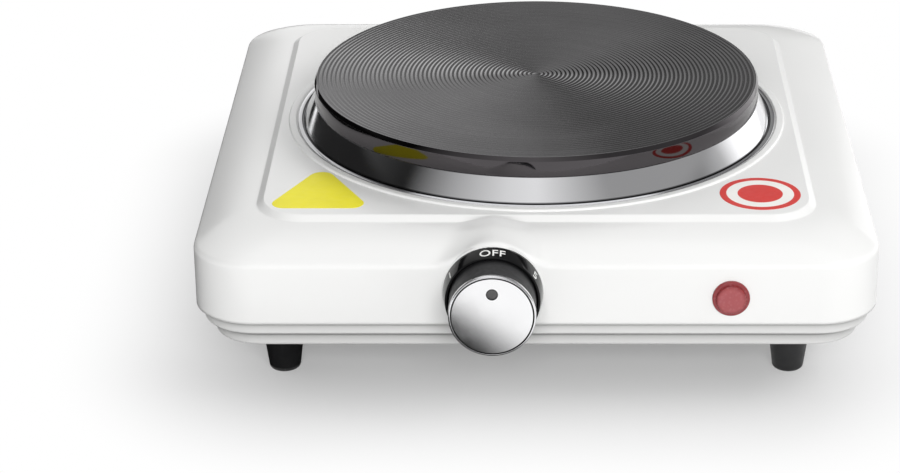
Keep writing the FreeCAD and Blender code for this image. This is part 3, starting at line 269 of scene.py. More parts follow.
# %% Finish recipe class
class Finish(Nodes):
    """One material: a principled shader, and the patterns that lie on it. Most have one
    pattern each for tone, gloss and relief, so these can be given at the start."""

    def __init__(self, name, colour, rough, metal=0.0, tone=(), gloss=(), relief=(), **sockets):
        self.material = bpy.data.materials.new(name)
        super().__init__(self.material)
        self.colour = srgb(colour)
        self.shader = self.add("BsdfPrincipled")
        sockets.update(Base_Color=self.colour, Roughness=rough, Metallic=metal)
        for key, value in sockets.items():
            self.shader.inputs[key.replace("_", " ")].default_value = value
        self.link(self.shader.outputs[0], self.add("OutputMaterial").inputs["Surface"])
        for lay, given in ((self.tone, tone), (self.gloss, gloss), (self.relief, relief)):
            if given:
                lay(*given)

    def noise(self, size, detail=2.0, scale=(1, 1, 1)):
        """Soft noise with features of about this size in millimetres, from 0 to 1."""
        return self.add("TexNoise", {"Vector": self.where(scale=scale), "Scale": 1000 / size,
                                     "Detail": detail}).outputs["Fac"]

    def grains(self, size):
        """Rounded cells of this size in millimetres: 0 in the middle, rising to the edge."""
        return self.add("TexVoronoi", {"Vector": self.where(),
                                       "Scale": 1000 / size}).outputs["Distance"]

    def radius(self, centre, axis="up"):
        """Distance in millimetres from an axis through the centre."""
        flat = (1000, 1000, 0) if axis == "up" else (1000, 0, 1000)
        return self.vector("LENGTH", self.where(centre, flat))

    def turned(self, centre, pitch, axis="up"):
        """Fine rings left by a lathe tool: noise along the radius alone."""
        r = self.radius(centre, axis)
        return self.add("TexNoise", {"W": r, "Scale": 1 / pitch, "Detail": 1.0},
                        noise_dimensions="1D").outputs["Fac"]

    def pattern(self, given):
        """A pattern's output as it is, or else noise of this size, or this size and detail."""
        if isinstance(given, bpy.types.NodeSocket):
            return given
        return self.noise(*given) if isinstance(given, tuple) else self.noise(given)

    def spread(self, pattern, low, high, start=0.3, end=0.7):
        """Stretch a pattern's middle range over low to high."""
        return self.add("MapRange", {"Value": self.pattern(pattern), "From Min": start,
                                     "From Max": end, "To Min": low, "To Max": high}).outputs["Result"]

    def base(self):
        """What feeds the base colour now: a pattern's output, or the plain colour."""
        socket = self.shader.inputs["Base Color"]
        return socket.links[0].from_socket if socket.links else self.colour[:3]

    def tone(self, pattern, amount):
        """Lighten and darken the colour by this share, up and down."""
        scale = self.spread(pattern, 1 - amount, 1 + amount)
        node = self.add("VectorMath", {0: self.base(), "Scale": scale}, operation="SCALE")
        self.link(node.outputs[0], self.shader.inputs["Base Color"])
        return self

    def mark(self, pattern, colour, start=0.5, end=0.6, most=1.0):
        """Lay another colour where the pattern is high."""
        fac = self.spread(pattern, 0.0, most, start, end)
        base = self.base()
        base = (*base, 1.0) if isinstance(base, tuple) else base
        node = self.add("Mix", {"Factor": fac, 6: base, 7: srgb(colour)}, data_type="RGBA")
        self.link(node.outputs[2], self.shader.inputs["Base Color"])
        return self

    def gloss(self, pattern, low, high):
        """Let roughness run between two values."""
        self.link(self.spread(pattern, low, high), self.shader.inputs["Roughness"])
        return self

    def relief(self, pattern, height, coat=False):
        """A bump of this height in millimetres, on top of any bump so far."""
        socket = self.shader.inputs["Coat Normal" if coat else "Normal"]
        sockets = {"Height": self.pattern(pattern), "Distance": height * MM, "Strength": 1.0}
        if socket.links:
            sockets["Normal"] = socket.links[0].from_socket
        self.link(self.add("Bump", sockets).outputs[0], socket)
        return self


def wear(obj, finish):
    """Give a piece one finish all over."""
    obj.data.materials.clear()
    obj.data.materials.append(finish.material)


print("helpers ready")

# %% [markdown]
# ## The housing
# One sheet of steel is pressed over a former: a straight wall, a rounded shoulder, a
# frame that crowns gently up to a small step, and a flat panel round the plate. In front
# an arch swells out of the frame to make room for the knob. The sheet is one grid: each
# row is a rounded rectangle drawn further in than the last, and each column runs from
# the rim over the shoulder to the plate's hole, so light flows over it as on real sheet.

# %% Housing sizes
house_low, house_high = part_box("top_housing")
HALF_X = (house_high[0] - house_low[0]) / 2 / MM
HALF_Y = (house_high[1] - house_low[1]) / 2 / MM
BEAD_HIGH = 0.65
RIM = house_low[2] / MM
PANEL = house_high[2] / MM - BEAD_HIGH
STEP_RISE, FRAME_RISE = 1.7, 6.0
FOOT = PANEL - STEP_RISE
SHOULDER = FOOT - FRAME_RISE
SHOULDER_ROUND = 2.5
FRAME_SIDE, FRAME_FRONT, STEP_RUN = 19.0, 20.8, 2.3
STEP_END = FRAME_FRONT + STEP_RUN
CORNERS = (20.0, 16.0, 14.0)
BEAD_OUT, BEAD_IN, BEAD_SLOPE, BEAD_ROUND = 86.9, 83.9, 0.35, 0.45
LEDGE_DROP, LEDGE_MIDDLE, PLATE_HOLE = 0.2, 78.0, 74.0
LEDGE = PANEL - LEDGE_DROP
SHEET = 1.0
print("rim", round(RIM, 2), "shoulder", round(SHOULDER, 2), "panel", round(PANEL, 2))

# %% Columns round the rectangle


def walk_round(front, side, back, corner):
    """Shares (sx, ax, sy, ay) for each column, anticlockwise from the front left. On a row
    with corner radius c the column lies at x = sx (half_x - c) + ax c, and y likewise."""
    ends = np.array([(-1, -1), (1, -1), (1, 1), (-1, 1), (-1, -1)], float)
    out = []
    for turn, count in enumerate((front, side, back, side)):
        s = np.linspace(0, 1, count, endpoint=False)[:, None]
        centre = ends[turn] * (1 - s) + ends[turn + 1] * s
        facing = math.pi / 2 * (turn - 1)
        bend = facing + np.linspace(0, math.pi / 2, corner, endpoint=False)
        centre = np.vstack([centre, np.repeat(ends[turn + 1][None], corner, 0)])
        angle = np.concatenate([np.full(count, facing), bend])
        out.append(np.column_stack([centre[:, 0], np.cos(angle), centre[:, 1], np.sin(angle)]))
    return np.concatenate(out).T


share_x, bend_x, share_y, bend_y = walk_round(front=200, side=28, back=100, corner=16)


def on_row(inset):
    """x and y in mm of the columns at these insets from the wall. The sides move in a
    little less than the front, and the corners tighten on the way."""
    knots = (0, FRAME_FRONT, STEP_END)
    side_in = np.interp(inset, knots, (0, FRAME_SIDE, FRAME_SIDE + STEP_RUN))
    corner = np.interp(inset, knots, CORNERS)
    return (share_x * (HALF_X - side_in - corner) + bend_x * corner,
            share_y * (HALF_Y - inset - corner) + bend_y * corner)


# %% [markdown]
# The height is a formula of the inset alone, except near the knob. There the frame meets
# an arch, and a smooth maximum of the two gives the soft fillet that pressed sheet has.

# %% Height of the sheet
ARCH_CREST = LEDGE
ARCH_RADIUS = 18.0
ARCH_STEEP = 1.15
BLEND_LEAST, BLEND_MOST = 0.4, 4.2
FOOT_ROUND, STEP_ROUND = 1.2, 1.5
CROWN_END = FRAME_FRONT - 1.6
LAST_INSET = STEP_END + 0.8


def crown(d):
    """The frame's parabola: it starts at about 30 degrees and levels out at the step."""
    t = d / FRAME_FRONT
    return SHOULDER + FRAME_RISE * (2 * t - t * t)


crown_d = np.linspace(0, CROWN_END, 40)
step = arcs([(CROWN_END, crown(CROWN_END)), (FRAME_FRONT, FOOT, FOOT_ROUND),
             (STEP_END, PANEL, STEP_ROUND), (LAST_INSET, PANEL)], steps=7)
section = np.vstack([np.column_stack([crown_d, crown(crown_d)]), step[1:]])
on_front = share_y + bend_y <= -2


def height(inset, x):
    """Smooth maximum of the section and the arch: max(a, b) + (k - |a - b|)^2 / 4k where
    they are closer than k. The arch is a hyperbola, round on top and straight below."""
    plain = np.interp(inset, section[:, 0], section[:, 1])
    off = x - knob_axis[0] / MM
    arch = ARCH_CREST + ARCH_RADIUS - np.hypot(ARCH_RADIUS, ARCH_STEEP * off)
    arch = np.where(on_front, arch, RIM)
    k = np.clip(2 * (ARCH_CREST - plain), BLEND_LEAST, BLEND_MOST)
    near = np.clip(k - np.abs(plain - arch), 0, None)
    return np.maximum(plain, arch) + near ** 2 / (4 * k)


# %% Shoulder round
TRIES, NUDGE = 6, 0.05
reach = np.full(share_x.shape, SHOULDER_ROUND)
for _ in range(TRIES):
    ahead, behind = reach + NUDGE, reach - NUDGE
    rise = height(ahead, on_row(ahead)[0]) - height(behind, on_row(behind)[0])
    lean = np.arctan(rise / (2 * NUDGE))
    reach = SHOULDER_ROUND * (1 - np.sin(lean))
wall_top = height(reach, on_row(reach)[0]) - SHOULDER_ROUND * np.cos(lean)
print("lean of the frame at the shoulder, degrees", np.degrees(lean).min().round(1),
      "to", np.degrees(lean).max().round(1))

# %% Rows from the rim to the hole
WALL_ROWS, ROUND_ROWS, FRAME_ROWS = 22, 10, 15
rows_x, rows_y, rows_z = [], [], []


def add_row(inset, z=None):
    """One more row at an inset, with its own height or the sheet's."""
    x, y = on_row(np.broadcast_to(inset, share_x.shape))
    rows_x.append(x)
    rows_y.append(y)
    rows_z.append(height(inset, x) if z is None else np.broadcast_to(z, x.shape))


for t in np.linspace(0, 1, WALL_ROWS):
    add_row(0.0, RIM + t * (wall_top - RIM))
for t in np.linspace(0, 1, ROUND_ROWS)[1:]:
    angle = t * (math.pi / 2 - lean)
    add_row(SHOULDER_ROUND * (1 - np.cos(angle)), wall_top + SHOULDER_ROUND * np.sin(angle))
for t in np.linspace(0, 1, FRAME_ROWS)[1:]:
    add_row(reach + t * (CROWN_END - reach))
for d in step[1:, 0]:
    add_row(d)
edge_x, edge_y = rows_x[-1], rows_y[-1]
around = np.arctan2(edge_y, edge_x)


def add_circle(r, z, share=1.0):
    """One more row, this share of the way from the panel's outline to a circle."""
    rows_x.append(edge_x * (1 - share) + share * r * np.cos(around))
    rows_y.append(edge_y * (1 - share) + share * r * np.sin(around))
    rows_z.append(np.full(around.shape, z))


add_circle(BEAD_OUT, PANEL, share=0.5)
for r, z in arcs([(BEAD_OUT, PANEL), (BEAD_OUT - BEAD_SLOPE, PANEL + BEAD_HIGH, BEAD_ROUND),
                  (BEAD_IN + BEAD_SLOPE, PANEL + BEAD_HIGH, BEAD_ROUND), (BEAD_IN, LEDGE, 0.2),
                  (LEDGE_MIDDLE, LEDGE), (PLATE_HOLE, LEDGE)], steps=4):
    add_circle(r, z)
grid = np.stack([rows_x, rows_y, rows_z], -1) * MM + plate_axis
print("rows and columns", grid.shape[:2])

# %% [markdown]
# The knob's bush, its two screws, the lamp and the cord's gland pass through flat
# stretches of wall. Faces whose corners all lie inside a hole go, and the corners that
# are left inside move out to its edge, so that each hole is round.

# %% Holes in the walls
BUSH_HOLE, SCREW_HOLE, SCREW_APART = 5.3, 1.55, 9.5
LAMP_HOLE, CORD_HOLE = 4.45, 5.05
FLAT = 1e-6

skin = grid.reshape(-1, 3)
faces = bands(*grid.shape[:2])


def pierce(points, quads, centre, radius, front=True):
    """The grid with one round hole through its front or back wall."""
    wall = front_y if front else house_high[1]
    on_wall = np.abs(points[:, 1] - wall) < FLAT
    away = points[:, (0, 2)] - np.array(centre)[[0, 2]]
    distance = np.linalg.norm(away, axis=1)
    inside = on_wall & (distance < radius)
    points = points.copy()
    spread = radius / distance[inside]
    points[inside, 0] = centre[0] + away[inside, 0] * spread
    points[inside, 2] = centre[2] + away[inside, 1] * spread
    return points, quads[~inside[quads].all(1)]


sideways = np.array([SCREW_APART * MM, 0, 0])
for place, hole in ((knob_axis, BUSH_HOLE), (knob_axis - sideways, SCREW_HOLE),
                    (knob_axis + sideways, SCREW_HOLE), (lamp_axis, LAMP_HOLE)):
    skin, faces = pierce(skin, faces, place, hole * MM)
skin, faces = pierce(skin, faces, middle("cord_bushing"), CORD_HOLE * MM, front=False)
used = np.unique(faces)
faces = np.searchsorted(used, faces)
housing = put_mesh("pressed_housing", skin[used], faces.tolist(), smooth=40)
sheet = housing.modifiers.new("sheet", "SOLIDIFY")
sheet.thickness = SHEET * MM
sheet.offset = -1.0
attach(housing, "casing")
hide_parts("top_housing")
print("housing faces", len(faces))

# %% [markdown]
# Round the knob the wall is embossed: a flat disc stands a fraction of a millimetre
# proud. Its outline is a circle, cut off straight below by the sheet's rim, and limited
# above by the arch's rounded front, which its edge runs back to meet.

# %% Embossed seat
SEAT_RADIUS, SEAT_UP, SEAT_SPOKES = 16.5, 15.3, 180
SEAT_DEEP, SEAT_BEVEL = 0.8, 0.12
LEAST_SINE = 0.1
seat_a = full_turn(SEAT_SPOKES)
knob_z = knob_axis[2] / MM
to_rim = (knob_z - RIM) / np.maximum(-np.sin(seat_a), LEAST_SINE)
to_arch = SEAT_UP / np.maximum(np.sin(seat_a), LEAST_SINE)
seat_r = np.minimum(SEAT_RADIUS, np.where(np.sin(seat_a) < 0, to_rim, to_arch))
above = np.clip(knob_z + seat_r * np.sin(seat_a) - (ARCH_CREST - SHOULDER_ROUND), 0, None)
back = -SEAT_DEEP - SHOULDER_ROUND + np.sqrt(SHOULDER_ROUND ** 2 - above ** 2)
bore, proud = np.full(SEAT_SPOKES, BUSH_HOLE), np.full(SEAT_SPOKES, SEAT / MM)
loops = [(bore, bore * 0 - SEAT_DEEP), (seat_r, back), (seat_r, proud - SEAT_BEVEL),
         (seat_r - SEAT_BEVEL, proud), (bore, proud)]
ways = spokes(seat_a, "front")
seat_points = [knob_axis + MM * (r[:, None] * ways + h[:, None] * AXES["front"][2]) for r, h in loops]
seat_faces = bands(len(loops), SEAT_SPOKES, closed=True)
knob_seat = put_mesh("knob_seat", np.concatenate(seat_points), seat_faces.tolist())
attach(knob_seat, "casing")
print("seat radius", SEAT_RADIUS, "faces", len(seat_faces))

# %% [markdown]
# ## The hot plate
# The plate is cast iron, faced on a lathe. The tool leaves one fine groove for each turn
# from the rim to the middle, and the side is finished smooth enough to mirror the panel
# beside it. Each turn leans: a land falls outwards, and a narrower bank climbs back.
# So each half mirrors another side of the room, and the banks draw dark lines on the
# left and bright ones on the right. That needs real geometry, because a bump throws no
# edge. Underneath are the channels for the heater.

# %% Plate profile
plate_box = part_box("hot_plate")
PLATE_RADIUS = half_width(plate_box)
PLATE_TOP, PLATE_UNDER = plate_box[1][2] / MM, plate_box[0][2] / MM
GROOVE_PITCH, GROOVE_DEPTH = 1.515, 0.25
LAND = 0.54
GROOVE = [(0.06, 0.06), (LAND / 2, 0.5), (LAND - 0.04, 0.96), (LAND + 0.04, 0.95), (0.97, 0.04)]
FACE_IN, EDGE_IN, EDGE_DROP = 1.0, 0.8, 1.4
COIL_RADII = (61.0, 41.5, 22.0)
CHANNEL_HALF, CHANNEL_DEEP = 4.5, 6.0
STUD_BORE, STUD_DEEP = 3.0, 7.0
PLATE_STEP, PLATE_EDGE = 2.3, 7.0


def grooved_face(edge):
    """(r, h) from the centre to the edge. Each turn of the tool leaves a land that falls
    evenly outwards by the groove's depth, and then a steeper bank back up. The points of
    one groove are shares of its pitch and of its depth."""
    turns = int(edge / GROOVE_PITCH)
    phase, depth = np.array(GROOVE).T
    r = (np.arange(turns)[:, None] + phase).ravel() * GROOVE_PITCH + edge - turns * GROOVE_PITCH
    return np.column_stack([r, PLATE_TOP - np.tile(depth * GROOVE_DEPTH, turns)])


face_edge = PLATE_RADIUS - FACE_IN
top_face = grooved_face(face_edge)
top_face[0] = (0.0, PLATE_TOP)
skirt = PLATE_TOP - PLATE_EDGE
side = arcs([(face_edge, PLATE_TOP - 0.02), (PLATE_RADIUS - EDGE_IN, PLATE_TOP, 0.15),
             (PLATE_RADIUS, PLATE_TOP - EDGE_DROP, 0.7), (PLATE_RADIUS, skirt, 0.35),
             (PLATE_RADIUS - PLATE_STEP, skirt), (PLATE_RADIUS - PLATE_STEP, PLATE_UNDER)])
under = []
for middle_r in COIL_RADII:
    outer_r, inner_r = middle_r + CHANNEL_HALF, middle_r - CHANNEL_HALF
    roof = PLATE_UNDER + CHANNEL_DEEP
    under += [(outer_r, PLATE_UNDER), (outer_r, roof), (inner_r, roof), (inner_r, PLATE_UNDER)]
stud_top = PLATE_UNDER + STUD_DEEP
under += [(STUD_BORE, PLATE_UNDER), (STUD_BORE, stud_top), (0.0, stud_top)]
plate = lathe("grooved_plate", np.vstack([top_face, side[1:], under]), plate_axis, segments=224)
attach(plate, "casing")
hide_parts("hot_plate")
print("grooves", int(face_edge / GROOVE_PITCH), "faces", len(plate.data.polygons))

# %% [markdown]
# The iron is blackened and lightly oiled: a dark metal with a cloudy tone, faint tool
# lines between the grooves, and a fine grain. Its side is darker and burnished.

# %% Plate finish
LINE_PITCH = 0.5
SIDE_FROM = 0.7
blackened = Finish("blackened_iron", (126, 125, 126), 0.17, 1.0, ((38, 3), 0.10),
                   ((9, 3), 0.14, 0.20), ((0.9, 3), 0.006))
lines = blackened.turned(plate_axis, LINE_PITCH)
blackened.tone(lines, 0.08).relief(lines, 0.004)
burnished = Finish("burnished_iron", (86, 83, 85), 0.06, 1.0, ((30, 3), 0.06),
                   ((12, 3), 0.045, 0.085), (6, 0.004))
wear(plate, blackened)
plate.data.materials.append(burnished.material)
centres = np.zeros(len(plate.data.polygons) * 3)
plate.data.polygons.foreach_get("center", centres)
from_axis = np.linalg.norm((centres.reshape(-1, 3) - plate_axis)[:, :2], axis=1)
on_side = from_axis > (PLATE_RADIUS - SIDE_FROM) * MM
plate.data.polygons.foreach_set("material_index", on_side.astype(int))
print("side faces", int(on_side.sum()))

# %% [markdown]
# ## The trim ring
# A strip of stainless steel is rolled into a ring and spun to shape: a lip that tucks
# under the plate, a wall that leans out as it goes down, and a flat flange that lies on
# the panel. A narrow seam runs at the wall's foot, and a dark band over it is painted
# shade for the crease. Thin sheet bends round a radius, so every corner gets one.

# %% Trim ring
ring_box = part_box("trim_ring")
RING_FLANGE = half_width(ring_box)
RING_LOW, RING_HIGH = ring_box[0][2] / MM, ring_box[1][2] / MM
RING_SHEET, LIP_WIDE, WALL_LOW = 0.6, 2.6, 0.7
SEAM_IN, SEAM_OUT, SEAM_END, SEAM_HIGH = 0.2, 0.3, 0.45, 0.12
lip_r, foot_r = PLATE_RADIUS - 0.2, PLATE_RADIUS + 4.2
flange_z = RING_LOW + RING_SHEET
ring_outside = arcs([
    (lip_r - LIP_WIDE, RING_HIGH), (lip_r, RING_HIGH, 0.4), (foot_r - 0.25, RING_LOW + WALL_LOW, 0.3),
    (foot_r - SEAM_IN, RING_LOW + SEAM_HIGH, 0.1), (foot_r + SEAM_OUT, RING_LOW + SEAM_HIGH, 0.1),
    (foot_r + SEAM_END, flange_z, 0.15), (RING_FLANGE, flange_z, 0.3), (RING_FLANGE, RING_LOW)],
    steps=6)
ring_inside = [(foot_r - RING_SHEET, RING_LOW), (lip_r - RING_SHEET, RING_HIGH - RING_SHEET),
               (lip_r - LIP_WIDE, RING_HIGH - RING_SHEET)]
ring = lathe("trim_ring_spun", np.vstack([ring_outside, ring_inside]), plate_axis,
             segments=256, ring=True, smooth=50)
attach(ring, "casing")
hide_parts("trim_ring")
print("ring faces", len(ring.data.polygons))

# %% Trim ring finish
bright_steel = Finish("bright_steel", (238, 238, 240), 0.10, 1.0, (55, 0.03), ((14, 3), 0.07, 0.14))
from_plate = bright_steel.radius(plate_axis)
# painted shade: a dark band over the seam at the wall's foot, which the next mark ends on the flange
bright_steel.mark(from_plate, (104, 104, 106), foot_r - 0.5, foot_r - 0.3)
bright_steel.mark(from_plate, (232, 232, 234), foot_r + SEAM_END, foot_r + 0.55)
bright_steel.relief(bright_steel.turned(plate_axis, 0.35), 0.0015)
wear(ring, bright_steel)

# %% [markdown]
# ## The knob
# The knob is a black moulding with a bright metal cap pressed over its front. The cap's
# face is a very shallow dome, so its tone drifts from one side to the other. A fine
# groove runs round the face just inside the rounded edge. Its floor, and a thin ring round the pointer
# dot's pocket, are darkened as painted shade.

# %% Knob cap
REACH, CAP_BACK = stand_out(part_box("knob_cap"))
KNOB_RADIUS = 13.8
CAP_SHEET, CAP_FACE = 0.4, 0.8
FACE_EDGE, FACE_DOME, DOT_DOME = 12.75, 0.47, 0.42
GROOVE_IN, GROOVE_OUT, GROOVE_BACK = 12.82, 13.1, 0.95
DOT_RISE, DOT_RADIUS = 7.6, 1.6


def domed(r, drop):
    """Height of a shallow dome: it drops with the square of the radius, to the edge."""
    return REACH - drop * (np.asarray(r) / FACE_EDGE) ** 2


dome_r = np.linspace(0, FACE_EDGE, 40)
dome = np.column_stack([dome_r, domed(dome_r, FACE_DOME)])
rim = arcs([(FACE_EDGE, dome[-1, 1]), (GROOVE_IN, REACH - GROOVE_BACK, 0.03),
            (GROOVE_OUT, REACH - GROOVE_BACK, 0.03), (13.2, REACH - 0.3, 0.1),
            (KNOB_RADIUS, REACH - 0.62, 0.42), (KNOB_RADIUS, CAP_BACK, 0.12),
            (KNOB_RADIUS - CAP_SHEET, CAP_BACK), (KNOB_RADIUS - CAP_SHEET, REACH - CAP_FACE),
            (0, REACH - CAP_FACE)], steps=6)
cap = lathe("knob_cap_bright", np.vstack([dome, rim[1:]]), knob_axis, "front", 224, smooth=60)
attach(cap, "knob")
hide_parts("knob_cap")
print("knob reach", round(REACH, 2), "cap rim", round(REACH - CAP_BACK, 2))

# %% Pointer dot
dot_axis = knob_axis + np.array([0, 0, DOT_RISE * MM])
dot_top = float(domed(DOT_RISE, DOT_DOME)) - 0.02
dot_base = REACH - CAP_FACE
dot = lathe("pointer_dot_round", arcs([(0, dot_top + 0.1), (DOT_RADIUS * 0.7, dot_top + 0.1),
                                       (DOT_RADIUS, dot_top, 0.12), (DOT_RADIUS, dot_base),
                                       (0, dot_base)]), dot_axis, "front", 64)
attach(dot, "knob")
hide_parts("pointer_dot")

# %% Knob finishes
satin = Finish("satin_cap", (252, 252, 253), 0.18, 1.0, (24, 0.015), ((5, 3), 0.15, 0.21))
from_knob, from_dot = satin.radius(knob_axis, "front"), satin.radius(dot_axis, "front")
# painted shade: a dark ring over the groove's floor, then the rim's own colour beyond it
satin.mark(from_knob, (40, 40, 42), 12.7, 12.8).mark(from_knob, (244, 244, 246), 13.12, 13.2)
# painted shade: a dark ring round the pointer dot's pocket
satin.mark(from_dot, (60, 60, 61), 1.95, 1.82)
satin.relief(satin.turned(knob_axis, 0.25, "front"), 0.001)
wear(cap, satin)
wear(dot, Finish("pointer_grey", (78, 78, 78), 0.45, 0.0, (1.2, 0.06), (0.8, 0.38, 0.52),
                 (0.4, 0.01)))
gloss_black = Finish("gloss_black", (14, 14, 15), 0.10, 0.0, (20, 0.12), ((6, 3), 0.06, 0.13),
                     (7, 0.012), Specular_IOR_Level=0.22)

# %% [markdown]
# ## The dial collar
# A black collar stands round the knob and carries the marks. It is a slightly tapered
# moulding with a small round on its front lip, and the lip's round catches a thin pale
# line of light all the way round.

# %% Dial collar
collar_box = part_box("dial_bezel")
COLLAR_BASE, COLLAR_REACH = half_width(collar_box), stand_out(collar_box)[0]
COLLAR_SEAT = SEAT / MM
COLLAR_BORE = KNOB_RADIUS + 0.5
COLLAR_TIP = COLLAR_BORE + 0.8
COLLAR_FLOOR = COLLAR_SEAT + 1.0
collar_profile = arcs([
    (BUSH_HOLE, COLLAR_SEAT), (COLLAR_BASE, COLLAR_SEAT, 0.15), (COLLAR_TIP, COLLAR_REACH, 0.3),
    (COLLAR_BORE, COLLAR_REACH, 0.2), (COLLAR_BORE, COLLAR_FLOOR, 0.3), (BUSH_HOLE, COLLAR_FLOOR)],
    steps=6)
collar = lathe("dial_collar", collar_profile, knob_axis, "front", 224, ring=True, smooth=50)
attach(collar, "casing")
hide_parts("dial_bezel")
wear(collar, gloss_black)

# %% [markdown]
# The marks are printed, so they are a film of white ink. Each word starts as flat text,
# is cut into narrow strips, and is then wrapped: its width becomes an angle round the
# collar and its height runs back along the taper. The off mark is at the top, and the
# five heat settings follow anticlockwise, sixty degrees apart.

# %% Wrapped print
MARKS = ("OFF", "1", "2", "3", "4", "5")
MARK_APART = 60
MARK_TALL, MARK_MID, INK = 3.5, 3.55, 0.05
CAPITALS = 0.73
STRIP = 0.5


def flat_text(word, tall):
    """Text as a mesh in mm, centred, its capitals this tall, cut into narrow strips."""
    curve = bpy.data.curves.new("mark_" + word, "FONT")
    curve.body = word
    curve.size = tall / CAPITALS
    curve.extrude = INK / 2
    curve.offset = 0.035
    curve.resolution_u = 6
    curve.space_character = 1.06
    holder = into_scene("mark_holder", curve)
    bpy.context.view_layer.update()
    ready = holder.evaluated_get(bpy.context.evaluated_depsgraph_get())
    mesh = bpy.data.meshes.new_from_object(ready)
    bpy.data.objects.remove(holder)
    bm = bmesh.new()
    bm.from_mesh(mesh)
    bpy.data.meshes.remove(mesh)
    xs = [v.co.x for v in bm.verts]
    shift = (min(xs) + max(xs)) / 2
    for cut in np.arange(min(xs) + STRIP / 2, max(xs), STRIP):
        bmesh.ops.bisect_plane(bm, geom=bm.verts[:] + bm.edges[:] + bm.faces[:], dist=1e-5,
                               plane_co=(cut, 0, 0), plane_no=(1, 0, 0))
    bmesh.ops.triangulate(bm, faces=bm.faces[:])
    verts = np.array([v.co[:] for v in bm.verts]) - (shift, 0, 0)
    faces = [[v.index for v in f.verts] for f in bm.faces]
    bm.free()
    return verts, faces


def on_collar(flat, angle):
    """Wrap (x, y, z) in mm round the taper: x / radius turns clockwise from the mark's own
    angle, y runs back along the taper from its middle, and z is the film's thickness."""
    slope = (COLLAR_BASE - COLLAR_TIP) / (COLLAR_REACH - COLLAR_SEAT)
    reach = MARK_MID - (flat[:, 1] - MARK_TALL / 2)
    radius = COLLAR_BASE - slope * (reach - COLLAR_SEAT) + flat[:, 2] + INK * 0.4
    turn = math.radians(90 + angle) - flat[:, 0] / COLLAR_BASE
    out = reach[:, None] * AXES["front"][2]
    return knob_axis + MM * (radius[:, None] * spokes(turn, "front") + out)


all_verts, all_faces, start = [], [], 0
for place, word in enumerate(MARKS):
    verts, faces = flat_text(word, MARK_TALL)
    all_verts.append(on_collar(verts, MARK_APART * place))
    all_faces += [[k + start for k in f] for f in faces]
    start += len(verts)
print_film = put_mesh("dial_print", np.vstack(all_verts), all_faces)
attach(print_film, "casing")
wear(print_film, Finish("white_ink", (232, 232, 230), 0.5, 0.0, (1.5, 0.03), (0.8, 0.42, 0.58),
                        (0.35, 0.004)))
print("marks", len(MARKS), "faces", len(all_faces))

# %% [markdown]
# ## The pilot lamp
# The lens is a red moulding with a flat flange and a low round button, ribbed behind to
# scatter the bulb's light. It shows as a paler, slightly mottled middle in a darker rim.

# %% Lamp lens
lens_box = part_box("lamp_lens")
LENS_FLANGE = half_width(lens_box)
LENS_REACH, LENS_BACK = stand_out(lens_box)
BARREL, LENS_WALL = 4.4, 1.0
BUTTON, BUTTON_DOME = 3.7, 0.12
FLANGE_FACE = 1.2
button_r = np.linspace(0, BUTTON, 16)
button = np.column_stack([button_r, LENS_REACH - BUTTON_DOME * (button_r / BUTTON) ** 2])
lens_rest = arcs([
    (BUTTON, LENS_REACH - BUTTON_DOME), (4.75, LENS_REACH - 0.2, 0.55),
    (4.85, FLANGE_FACE - 0.08, 0.12), (LENS_FLANGE, FLANGE_FACE, 0.45), (LENS_FLANGE, 0.0),
    (BARREL, 0.0), (BARREL, LENS_BACK),
    (BARREL - LENS_WALL, LENS_BACK), (BARREL - LENS_WALL, LENS_REACH - LENS_WALL),
    (0, LENS_REACH - LENS_WALL)], steps=6)
lens = lathe("lamp_lens_red", np.vstack([button, lens_rest[1:]]), lamp_axis, "front", 160)
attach(lens, "casing")
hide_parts("lamp_lens")

ruby = Finish("ruby_lens", (168, 78, 82), 0.16, IOR=1.49, Transmission_Weight=0.12,
              Subsurface_Weight=0.25, Subsurface_Scale=0.002, Coat_Weight=0.3)
ruby.mark(ruby.radius(lamp_axis, "front"), (142, 46, 50), BUTTON, 4.7)
ruby.mark(ruby.grains(1.1), (196, 122, 124), 0.5, 0.1, 0.2)
ruby.gloss(2.5, 0.12, 0.22).relief(ruby.grains(1.1), 0.02)
wear(lens, ruby)

# %% [markdown]
# ## Two stickers
# The panel carries two vinyl stickers at its front corners, a yellow one cut as a
# rounded triangle and a round one in red and white. They stay blank. Each is a closed
# sheet a tenth of a millimetre thick with a soft edge.

# %% Sticker shapes
PANEL_TOP, FILM = PANEL * MM, 0.1 * MM
DRAWN_IN = 0.6
TRIANGLE, TRIANGLE_ROUND = [(-71.6, -48.6), (-88.4, -83.9), (-53.6, -83.9)], 4.0
DISC_AT, DISC_RADIUS, WHITE_FROM, WHITE_TO = (73.4, -72.0), 13.3, 7.35, 11.0
STICKER_RED = (206, 62, 58)


def film_sheet(name, outline, base, thick):
    """A flat closed film: the outline, a copy at the top drawn in by a share of the film's
    thickness, and fans that close both faces."""
    outline = np.asarray(outline, float)
    hub = outline.mean(0)
    to_hub = hub - outline
    inward = outline + to_hub / np.linalg.norm(to_hub, axis=1)[:, None] * thick * DRAWN_IN
    low = np.column_stack([outline, np.full(len(outline), base)])
    high = np.column_stack([inward, np.full(len(outline), base + thick)])
    verts = np.vstack([low, high, [[*hub, base], [*hub, base + thick]]])
    n = len(outline)
    walls = bands(2, n).tolist()
    floor = [(wall[1], wall[0], 2 * n) for wall in walls]
    roof = [(wall[3], wall[2], 2 * n + 1) for wall in walls]
    return put_mesh(name, verts, walls + floor + roof)


triangle = arcs([(*corner, TRIANGLE_ROUND) for corner in TRIANGLE], steps=10, closed=True)
disc = DISC_AT + DISC_RADIUS * spokes(full_turn(120), "up")[:, :2]
yellow_sheet = film_sheet("yellow_sticker", triangle * MM + plate_axis[:2], PANEL_TOP, FILM)
round_sheet = film_sheet("round_sticker", disc * MM + plate_axis[:2], PANEL_TOP, FILM)
for sheet in (yellow_sheet, round_sheet):
    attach(sheet, "casing")

